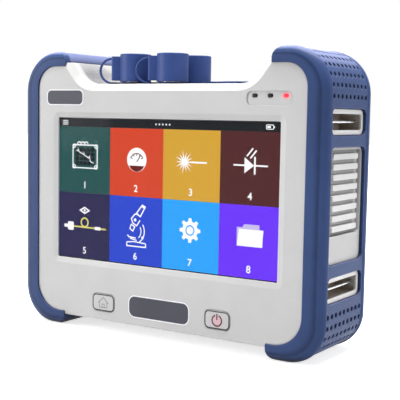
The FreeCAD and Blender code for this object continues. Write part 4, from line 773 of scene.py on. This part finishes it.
# The black bar shows three menu lines, five dots and a battery, and each tile shows its number.
# They are lit in the same white as the pictograms.
mark_z = picture_high - 2.7
battery_x = picture_right - 7.0
menu_marks = [stroke([(picture_left + 3.2, mark_z + rise), (picture_left + 7.2, mark_z + rise)], 0.5)
              for rise in (-1.1, 0.0, 1.1)]
menu_marks += [solid(arc(dot * 2.4, mark_z, 0.55, steps=12)) for dot in range(-2, 3)]
menu_marks += [
    stroke(rounded_rectangle(battery_x, mark_z, 4.4, 2.3, 0.4, 2), 0.4, True),
    solid(rounded_rectangle(battery_x - 0.6, mark_z, 2.2, 1.3, 0.1, 1)),
    solid(rounded_rectangle(battery_x + 2.7, mark_z, 0.5, 1.1, 0.1, 1)),
]
thin_piece("menu_bar_marks", menu_marks, icon_y, film / 2.0, white_ink, "housing")

numeral_height = 4.3
letter_size = 1.35 * numeral_height
letter_bolder = 0.10
numeral_drop = 15.5
for number in range(8):
    x, z = tile_middle(number % 4, number // 4, rise=-numeral_drop)
    name = "tile_number_%d" % (number + 1)
    letters = bpy.data.curves.new(name, "FONT")
    letters.body = str(number + 1)
    letters.size = letter_size * MM
    letters.align_x = "CENTER"
    letters.align_y = "CENTER"
    letters.extrude = film / 4.0 * MM
    letters.offset = letter_bolder * MM
    letters.materials.append(white_ink)
    numeral = bpy.data.objects.new(name, letters)
    numeral.location = (x * MM, (icon_y + film / 4.0) * MM, z * MM)
    numeral.rotation_euler = (math.radians(90.0), 0.0, 0.0)
    scene.collection.objects.link(numeral)
    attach(numeral, "housing")


# The touch glass is a chemically hardened float-glass sheet bonded behind the lip of the window.
# It is polished and has an anti-reflection coat, so the picture shows through it at full strength, and
# only the smears of fingers dull its faint gloss.
polished_glass = empty_material("coated_touch_glass")
tree = polished_glass.node_tree
place = add_node(tree, "ShaderNodeTexCoord").outputs["Object"]
smear_mm = 22.0
smears = add_node(tree, "ShaderNodeTexNoise", {
    "Vector": place, "Scale": 1.0 / (smear_mm * MM), "Detail": 5.0})
haze = add_node(tree, "ShaderNodeMapRange", {
    "Value": smears.outputs["Fac"], "From Min": 0.4, "From Max": 0.75, "To Min": 0.02, "To Max": 0.07})
sheet = add_node(tree, "ShaderNodeBsdfPrincipled", {
    "Base Color": (1.0, 1.0, 1.0, 1.0), "Roughness": haze.outputs["Result"], "IOR": 1.06,
    "Transmission Weight": 1.0})
add_node(tree, "ShaderNodeOutputMaterial", {"Surface": sheet.outputs["BSDF"]})

glass_thickness = 0.5
glass_corner = 2.0
glass_width = (glass_high.x - glass_low.x) / MM
glass_height = (glass_high.z - glass_low.z) / MM
glass_middle_z = (glass_high.z + glass_low.z) / 2.0 / MM
glass_sheet = thin_piece(
    "touch_glass_sheet",
    [solid(rounded_rectangle(0.0, glass_middle_z, glass_width, glass_height, glass_corner))],
    glass_low.y / MM, glass_thickness, polished_glass, "housing")
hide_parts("touch_glass")


# Behind the glass the display module's polariser film is black and glossy. A white foam gasket,
# dull and full of tiny cells, seals its edge, and a dull rubber cord seals the two halves of the case.
black_film = moulded("black_polariser_film", "#08090B", "#0B0C0F", "#101114", 0.22, 1.2, 0.002, 0.2, IOR=1.49)
seal_cord = moulded("matt_seal_rubber", "#1A1A1C", "#232326", "#2C2C30", 0.8, 1.0, 0.02, 0.1, IOR=1.45)
foam = moulded("closed_cell_white_foam", "#F4F3F1", "#EDECEA", "#FAF9F8", 0.85, 0.6, 0.05, 0.1, IOR=1.4)
coat(black_film, "lcd_panel")
coat(seal_cord, "housing_seal")
coat(foam, "screen_gasket")


# The bare plates above and below the screen are dark polycarbonate film, screen-printed from behind, so
# they look deep and nearly matt. The film is a little larger than the solid plate under it, and a
# flat white line of screen ink is printed on the case round its edge.
def screen_print(name, base, drift, paler_edge):
    """Screen ink, which lies flat and dries dull, so that it takes no highlights."""
    return moulded(name, base, drift, paler_edge, 0.5, 0.6, 0.002, 0.05, IOR=1.4)


label_film = moulded("printed_polycarbonate_film", "#34343F", "#3A3A45", "#44444E", 0.42, 0.8, 0.004, 0.1,
                     IOR=1.45, Specular_IOR_Level=0.3)
white_print = screen_print("white_screen_print", "#F6F6F8", "#F0F0F3", "#FAFAFA")
coat(label_film, "upper_label_plate", "lower_label_plate")
line_width = 0.6
film_thickness = 0.12
film_wider = 0.4
case_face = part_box("front_cover")[0].y / MM
for name, corner, more_above, more_below in (("upper_label_plate", 2.8, 0.1, 0.6),
                                             ("lower_label_plate", 3.9, 1.2, 0.3)):
    low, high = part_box(name)
    middle_x = (low.x + high.x) / 2.0 / MM
    middle_z = (low.z + high.z) / 2.0 / MM + (more_above - more_below) / 2.0
    width = (high.x - low.x) / MM + film_wider
    height = (high.z - low.z) / MM + more_above + more_below
    face = case_face - film_thickness
    thin_piece(name + "_film", [solid(rounded_rectangle(middle_x, middle_z, width, height, corner))],
               face, film_thickness, label_film, "housing")
    rim = rounded_rectangle(middle_x, middle_z, width + line_width, height + line_width,
                            corner + line_width / 2.0)
    thin_piece(name + "_line", [stroke(rim, line_width, True)], face, film_thickness, white_print, "housing")


# The two keys are moulded in the case's ABS, a little smoother where fingers press. A house is printed
# on the left one in grey, and a broken ring with a stroke on the right one in dull red over pink, and
# a dark line runs round each.
key_abs = moulded("satin_key_abs", "#C2C1C0", "#BDBCBB", "#DEDDDB", 0.42, 0.7, 0.006, 0.4, IOR=1.45)
red_print = screen_print("dull_red_screen_print", "#5C1422", "#54101E", "#641C2A")
dark_print = screen_print("dark_grey_screen_print", "#18181C", "#141418", "#222226")
pink_print = screen_print("pink_screen_print", "#D8B4BC", "#D2AEB6", "#E0BEC6")
grey_print = screen_print("mid_grey_screen_print", "#8E8E92", "#88888C", "#9A9A9E")
coat(key_abs, "home_button", "power_button")

print_film = 0.03
key_line_width = 0.7
key_line_margin = 1.7
key_line_height = 9.5
key_line_corner = 2.5
ring_z = -0.3
house = [
    stroke([(3.9, -0.3), (0.0, 3.2), (-3.9, -0.3)], 0.6),
    stroke([(2.8, 0.4), (2.8, -3.0), (-2.8, -3.0), (-2.8, 0.4)], 0.55),
    stroke([(0.8, -3.0), (0.8, -0.9), (-0.8, -0.9), (-0.8, -3.0)], 0.5),
]
power_disc = [solid(arc(0.0, ring_z, 2.4))]
power_mark = [stroke(arc(0.0, ring_z, 3.1, 112.0, 428.0, 26), 0.9), stroke([(0.0, 0.0), (0.0, 3.6)], 0.9)]
key_prints = {
    "home_button": (("house", house, 0.0, grey_print),),
    "power_button": (
        ("disc", power_disc, print_film / 2.0, pink_print),
        ("mark", power_mark, 0.0, red_print),
    ),
}
for name, prints in key_prints.items():
    low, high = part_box(name)
    x = (low.x + high.x) / 2.0 / MM
    z = (low.z + high.z) / 2.0 / MM
    face = low.y / MM - print_film
    rim = rounded_rectangle(x, z, (high.x - low.x) / MM - 2.0 * key_line_margin, key_line_height,
                            key_line_corner)
    thin_piece(name + "_line", [stroke(rim, key_line_width, True)], face, print_film, dark_print, name)
    for mark, shapes, under, ink in prints:
        thin_piece(name + "_" + mark, placed(shapes, x, z), face + under, print_film - under, ink, name)


# Three oval light pipes end in low domes in the sunk field above the screen. They are smoked
# polycarbonate, almost black and smooth; the right one is lit from behind and glows red.
smoked = moulded("smoked_polycarbonate", "#060607", "#0A0A0B", "#101012", 0.35, 0.8, 0.002, 0.2, IOR=1.45,
                 Specular_IOR_Level=0.25)
red_lens = moulded("red_lit_polycarbonate", "#B01824", "#A01420", "#D04050", 0.3, 0.8, 0.002, 0.2,
                   IOR=1.45, Emission_Color=linear("#FF2A48"), Emission_Strength=0.9)
lights_low, lights_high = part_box("status_lights")
lens_width = 3.3
lens_height = (lights_high.z - lights_low.z) / MM
lens_corner = 0.98 * lens_height / 2.0
lens_rise = 0.25
lens_set_back = 0.1
dome_turns = (0.35, 0.7, 1.05, 1.35)


def domed_lens(name, x, z, material):
    """Oval pipe with a low dome in front, its middle at that place in mm."""
    rim_y = lights_low.y / MM + lens_set_back
    steps = [(lights_high.y / MM, 1.0), (rim_y, 1.0)]
    steps += [(rim_y - lens_rise * math.sin(turn), math.cos(turn)) for turn in dome_turns]
    outline = rounded_rectangle(0.0, 0.0, lens_width, lens_height, lens_corner)
    work = bmesh.new()
    rings = []
    for y, share in steps:
        rings.append([work.verts.new(((x + px * share) * MM, y * MM, (z + pz * share) * MM))
                      for px, pz in outline])
    join_rings(work, rings)
    work.faces.new(rings[0])
    work.faces.new(rings[-1])
    return fitted(name, work, material, "housing", 50.0)


lights_z = (lights_low.z + lights_high.z) / 2.0 / MM
light_pitch = ((lights_high.x - lights_low.x) / MM - lens_width) / 2.0
for number in range(3):
    x = lights_low.x / MM + lens_width / 2.0 + number * light_pitch
    finish = red_lens if number == 2 else smoked
    domed_lens("status_light_%d" % (number + 1), x, lights_z, finish)
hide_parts("status_lights")


# The red glow that the lit pipe throws on the grey plastic round its end is painted light: a pink ring
# of film on the floor of the sunk field, in ABS of the case's own finish.
painted_red_glow_abs = moulded("painted_red_glow_grey_abs", "#E8B9BC", "#E2B2B6", "#EEC6C8", 0.46, 0.9, 0.004, 0.1, IOR=1.45)
field_sink = 0.5
painted_glow = (rounded_rectangle(0.0, 0.0, 5.6, 4.3, 2.1), rounded_rectangle(0.0, 0.0, 3.4, 2.1, 1.0))
thin_piece("status_light_3_tint", placed([painted_glow], lights_high.x / MM - lens_width / 2.0, lights_z),
           case_face + field_sink - print_film, print_film, painted_red_glow_abs, "housing")


# Dust caps and the cover of the service sockets are moulded in one soft dark-blue rubber.
# Its skin is smooth and a little greasy, so it takes a broad soft highlight.
cap_rubber = moulded("soft_dark_blue_rubber", "#3A4F8A", "#34487F", "#6074B0", 0.46, 0.7, 0.006, 0.6, 4.0,
                     "#0C1434", IOR=1.45, Specular_IOR_Level=0.2)
coat(cap_rubber, "dust_cap_1", "dust_cap_2", "dust_cap_3", "port_cover")


# Each cap hangs on a flat loop of the same rubber, moulded on to its ear, that bows out and ends in a
# collar clamped under the port's flange. When the cap is pulled the loop stretches and straightens.
loop_width = 3.0
loop_thickness = 1.2
loop_corner = 0.35
ear_turn = math.radians(28.0)
cap_radius = 9.4
ear_reach = 5.0
into_ear = 1.0
loop_bow = 7.6
collar_radius = 8.8
collar_hole = 3.75
collar_edge = 0.3
into_collar = 1.4
collar_steps = 40
bow_steps = 20


def loop_path(low_z, high_z):
    """Middle line of the loop: distance out from the port's axis, and height."""
    ear = cap_radius + ear_reach
    half = (high_z - low_z) / 2.0
    bow = loop_bow - loop_thickness / 2.0
    radius = (half * half + bow * bow) / (2.0 * bow)
    middle = (high_z + low_z) / 2.0
    sweep = math.atan2(half, radius - bow)
    points = [(collar_radius - into_collar, low_z), (ear - 2.0 * into_ear, low_z)]
    for step in range(bow_steps + 1):
        angle = sweep * (2.0 * step / bow_steps - 1.0)
        points.append((ear + bow - radius + radius * math.cos(angle), middle + radius * math.sin(angle)))
    points.append((ear - into_ear, high_z))
    return points


def cap_loop(number):
    """The loop and collar of one cap as a closed mesh."""
    cad_strap_low, cad_strap_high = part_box("cap_strap_%d" % number)
    adapter_low, adapter_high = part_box("optical_adapter_%d" % number)
    axis = (adapter_low + adapter_high) / 2.0
    floor = cad_strap_low.z / MM
    path = loop_path(floor + loop_thickness / 2.0, cad_strap_high.z / MM - loop_thickness / 2.0)
    work = bmesh.new()
    sections = []
    for i, (out, height) in enumerate(path):
        ahead = path[min(i + 1, len(path) - 1)]
        behind = path[max(i - 1, 0)]
        along = Vector((ahead[0] - behind[0], ahead[1] - behind[1])).normalized()
        across = Vector((-along.y, along.x))
        section = []
        for px, pz in rounded_rectangle(0.0, 0.0, loop_width, loop_thickness, loop_corner, 3):
            section.append(work.verts.new((
                -(out + across.x * pz) * MM, px * MM, (height + across.y * pz) * MM)))
        sections.append(section)
    join_rings(work, sections)
    work.faces.new(sections[0])
    work.faces.new(sections[-1])
    rims = []
    for radius, rise in ((collar_hole, 0.0), (collar_radius - collar_edge, 0.0), (collar_radius, collar_edge),
                         (collar_radius, loop_thickness - collar_edge),
                         (collar_radius - collar_edge, loop_thickness), (collar_hole, loop_thickness)):
        rims.append([work.verts.new((px * MM, py * MM, (floor + rise) * MM))
                     for px, py in arc(0.0, 0.0, radius, steps=collar_steps)])
    join_rings(work, rims + rims[:1])
    bmesh.ops.recalc_face_normals(work, faces=work.faces)
    bmesh.ops.rotate(work, verts=work.verts, cent=(0.0, 0.0, 0.0),
                     matrix=Matrix.Rotation(ear_turn, 3, "Z"))
    bmesh.ops.translate(work, verts=work.verts, vec=(axis.x, axis.y, 0.0))
    loop = mesh_object("cap_loop_%d" % number, work, 50.0)
    loop.data.materials.append(cap_rubber)
    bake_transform(loop)
    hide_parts("cap_strap_%d" % number)


for number in (1, 2, 3):
    cap_loop(number)


# Under the caps stand turned brass adapters, whose nickel plate is warm and bright, with a ground
# zirconia sleeve in each, white and smooth as china. Below the service cover are a plated data
# socket and a power inlet in black glass-filled nylon, which is dull.
nickel = metal("nickel_plated_brass", "#D9D2C6", "#BDB6AA", 0.2, 0.6, (1.0, 1.0, 0.25), 0.003)
zirconia = moulded("ground_zirconia", "#EDEBE4", "#E4E1D8", "#F6F5F0", 0.18, 0.5, 0.001, 0.1, IOR=2.1)
nylon = moulded("black_glass_filled_nylon", "#161618", "#1C1C1F", "#2B2B2F", 0.5, 0.8, 0.01, 0.2, IOR=1.53)
coat(nickel, "optical_adapter_1", "optical_adapter_2", "optical_adapter_3", "usb_socket")
coat(zirconia, "alignment_sleeve_1", "alignment_sleeve_2", "alignment_sleeve_3")
coat(nylon, "charging_socket", "fibre_spool")


# Inside are green boards whose copper tracks show through the glossy mask, a spangled zinc-coated
# bracket, an optical unit in cast aluminium that blasting made dull, fibre in a smooth yellow
# jacket, and a battery in shiny blue shrink film.
def masked_board(name, mask, copper, track_mm):
    """Glass-fibre board under solder mask, with the copper tracks showing through it."""
    material = empty_material(name)
    tree = material.node_tree
    place = add_node(tree, "ShaderNodeTexCoord").outputs["Object"]
    turned = add_node(tree, "ShaderNodeMapping", {
        "Vector": place, "Rotation": (math.radians(90.0), 0.0, 0.0)})
    tracks = add_node(tree, "ShaderNodeTexBrick", {
        "Vector": turned.outputs["Vector"], "Scale": 1.0 / (track_mm * MM), "Color1": linear(mask),
        "Color2": linear(mask), "Mortar": linear(copper), "Mortar Size": 0.04})
    bump = add_node(tree, "ShaderNodeBump", {
        "Strength": 1.0, "Distance": 0.03 * MM, "Height": tracks.outputs["Fac"]})
    skin = add_node(tree, "ShaderNodeBsdfPrincipled", {
        "Base Color": tracks.outputs["Color"], "Roughness": 0.32, "Normal": bump.outputs["Normal"],
        "Coat Weight": 0.3})
    add_node(tree, "ShaderNodeOutputMaterial", {"Surface": skin.outputs["BSDF"]})
    return material


board_mask = masked_board("green_solder_mask", "#12502C", "#2A7A48", 4.0)
sheet_zinc = metal("zinc_coated_sheet", "#B8BCC0", "#9DA2A8", 0.38, 2.5, (1.0, 1.0, 1.0), 0.01)
cast_metal = metal("sand_blasted_cast_aluminium", "#C6C8CB", "#AEB1B5", 0.5, 0.7, (1.0, 1.0, 1.0), 0.03)
yellow_jacket = moulded("yellow_buffer_jacket", "#E0B420", "#D8AA1C", "#EAC848", 0.42, 0.5, 0.004, 0.1,
                        IOR=1.5)
shrink_film = moulded("blue_shrink_film", "#23509E", "#1E4890", "#4C76BC", 0.3, 3.0, 0.05, 0.3, IOR=1.53)
coat(board_mask, "main_board", "key_board", "port_board")
coat(sheet_zinc, "lcd_bracket")
coat(cast_metal, "optical_module")
coat(yellow_jacket, "fibre_pigtails")
coat(shrink_film, "battery_pack")


# The tester stands on a wide matt white floor that keeps its shadow, in a room that looks white but
# lights it unevenly: more from above and from behind than from the side of the camera.
floor_half = 4.0
floor_gap = 0.05 * MM
shadow_from = 0.12
white_from = 0.6


def seen_white(tree):
    """Is 1 for rays that see the stage as white: from the camera, off gloss, or through glass."""
    ray = add_node(tree, "ShaderNodeLightPath")
    seen = add_node(tree, "ShaderNodeMath", {
        0: ray.outputs["Is Camera Ray"], 1: ray.outputs["Is Transmission Ray"]}, operation="MAXIMUM")
    seen = add_node(tree, "ShaderNodeMath", {
        0: seen.outputs["Value"], 1: ray.outputs["Is Glossy Ray"]}, operation="MAXIMUM")
    return seen.outputs["Value"]


def stage_white():
    """Matt white floor that shows the shadow near the tester and fades to plain white away from it."""
    material = empty_material("matt_white_floor")
    tree = material.node_tree
    place = add_node(tree, "ShaderNodeTexCoord").outputs["Object"]
    cloud = add_node(tree, "ShaderNodeTexNoise", {"Vector": place, "Scale": 3.0, "Detail": 2.0})
    colour = add_node(tree, "ShaderNodeMixRGB", {
        "Fac": cloud.outputs["Fac"], "Color1": linear("#FFFFFF"), "Color2": linear("#FBFBFB")})
    matt = add_node(tree, "ShaderNodeBsdfDiffuse", {"Color": colour.outputs["Color"]})
    away = add_node(tree, "ShaderNodeVectorMath", {0: place}, operation="LENGTH")
    rise = add_node(tree, "ShaderNodeMapRange", {
        "Value": away.outputs["Value"], "From Min": shadow_from, "From Max": white_from, "To Min": 0.71,
        "To Max": 1.0})
    lift = add_node(tree, "ShaderNodeEmission", {
        "Color": linear("#FFFFFF"), "Strength": rise.outputs["Result"]})
    sum_of = add_node(tree, "ShaderNodeAddShader", {0: matt.outputs["BSDF"], 1: lift.outputs["Emission"]})
    dull = add_node(tree, "ShaderNodeBsdfDiffuse", {"Color": linear("#BABABC")})
    mixed = add_node(tree, "ShaderNodeMixShader", {
        "Fac": seen_white(tree), 1: dull.outputs["BSDF"], 2: sum_of.outputs["Shader"]})
    add_node(tree, "ShaderNodeOutputMaterial", {"Surface": mixed.outputs["Shader"]})
    return material


work = bmesh.new()
corners = ((-1, -1), (1, -1), (1, 1), (-1, 1))
work.faces.new([work.verts.new((x * floor_half, y * floor_half, -floor_gap)) for x, y in corners])
floor = mesh_object("floor", work)
floor.data.materials.append(stage_white())

world = bpy.data.worlds.new("studio")
scene.world = world
world.use_nodes = True
world.node_tree.nodes.clear()
tree = world.node_tree
way = add_node(tree, "ShaderNodeTexCoord").outputs["Generated"]
height_of = add_node(tree, "ShaderNodeSeparateXYZ", {"Vector": way})
sky = add_node(tree, "ShaderNodeMapRange", {
    "Value": height_of.outputs["Z"], "From Min": -0.1, "From Max": 0.9, "To Min": 0.28, "To Max": 0.8})
towards_camera = (0.54, -0.84, 0.0)
nearness = add_node(tree, "ShaderNodeVectorMath", {0: way, 1: towards_camera}, operation="DOT_PRODUCT")
dark_room = add_node(tree, "ShaderNodeMapRange", {
    "Value": nearness.outputs["Value"], "From Min": -0.5, "From Max": 0.8, "To Min": 1.0, "To Max": 0.2})
far_screen = add_node(tree, "ShaderNodeMapRange", {
    "Value": nearness.outputs["Value"], "From Min": -0.82, "From Max": -0.95, "To Min": 0.0, "To Max": 0.9})
shaded = add_node(tree, "ShaderNodeMath", {
    0: sky.outputs["Result"], 1: dark_room.outputs["Result"]}, operation="MULTIPLY")
total = add_node(tree, "ShaderNodeMath", {
    0: shaded.outputs["Value"], 1: far_screen.outputs["Result"]}, operation="ADD")
fill = add_node(tree, "ShaderNodeBackground", {
    "Color": (0.97, 0.98, 1.0, 1.0), "Strength": total.outputs["Value"]})
white = add_node(tree, "ShaderNodeBackground", {"Color": (1.0, 1.0, 1.0, 1.0), "Strength": 1.0})
mixed = add_node(tree, "ShaderNodeMixShader", {
    "Fac": seen_white(tree), 1: fill.outputs["Background"], 2: white.outputs["Background"]})
add_node(tree, "ShaderNodeOutputWorld", {"Surface": mixed.outputs["Shader"]})


# Large soft lamps, one above and one to each side, give broad highlights and soft shadows. The left
# one lights the screen's side, and the weak right one keeps the louvred side from going dark.
def soft_lamp(name, place, aim, size, watts):
    """Square soft lamp at a place, aimed at a point, in metres."""
    lamp = bpy.data.objects.new(name, bpy.data.lights.new(name, "AREA"))
    lamp.data.shape = "SQUARE"
    lamp.data.size = size
    lamp.data.energy = watts
    lamp.location = place
    lamp.rotation_euler = (Vector(aim) - Vector(place)).to_track_quat("-Z", "Y").to_euler()
    scene.collection.objects.link(lamp)


soft_lamp("lamp_above", (0.1, -0.1, 1.3), (0.0, 0.0, 0.08), 0.7, 28.5)
soft_lamp("lamp_left", (-2.2, -1.7, 0.6), (0.0, 0.0, 0.08), 1.4, 49.5)
soft_lamp("lamp_right", (1.45, 0.3, 0.45), (0.1, 0.0, 0.08), 0.8, 6.0)
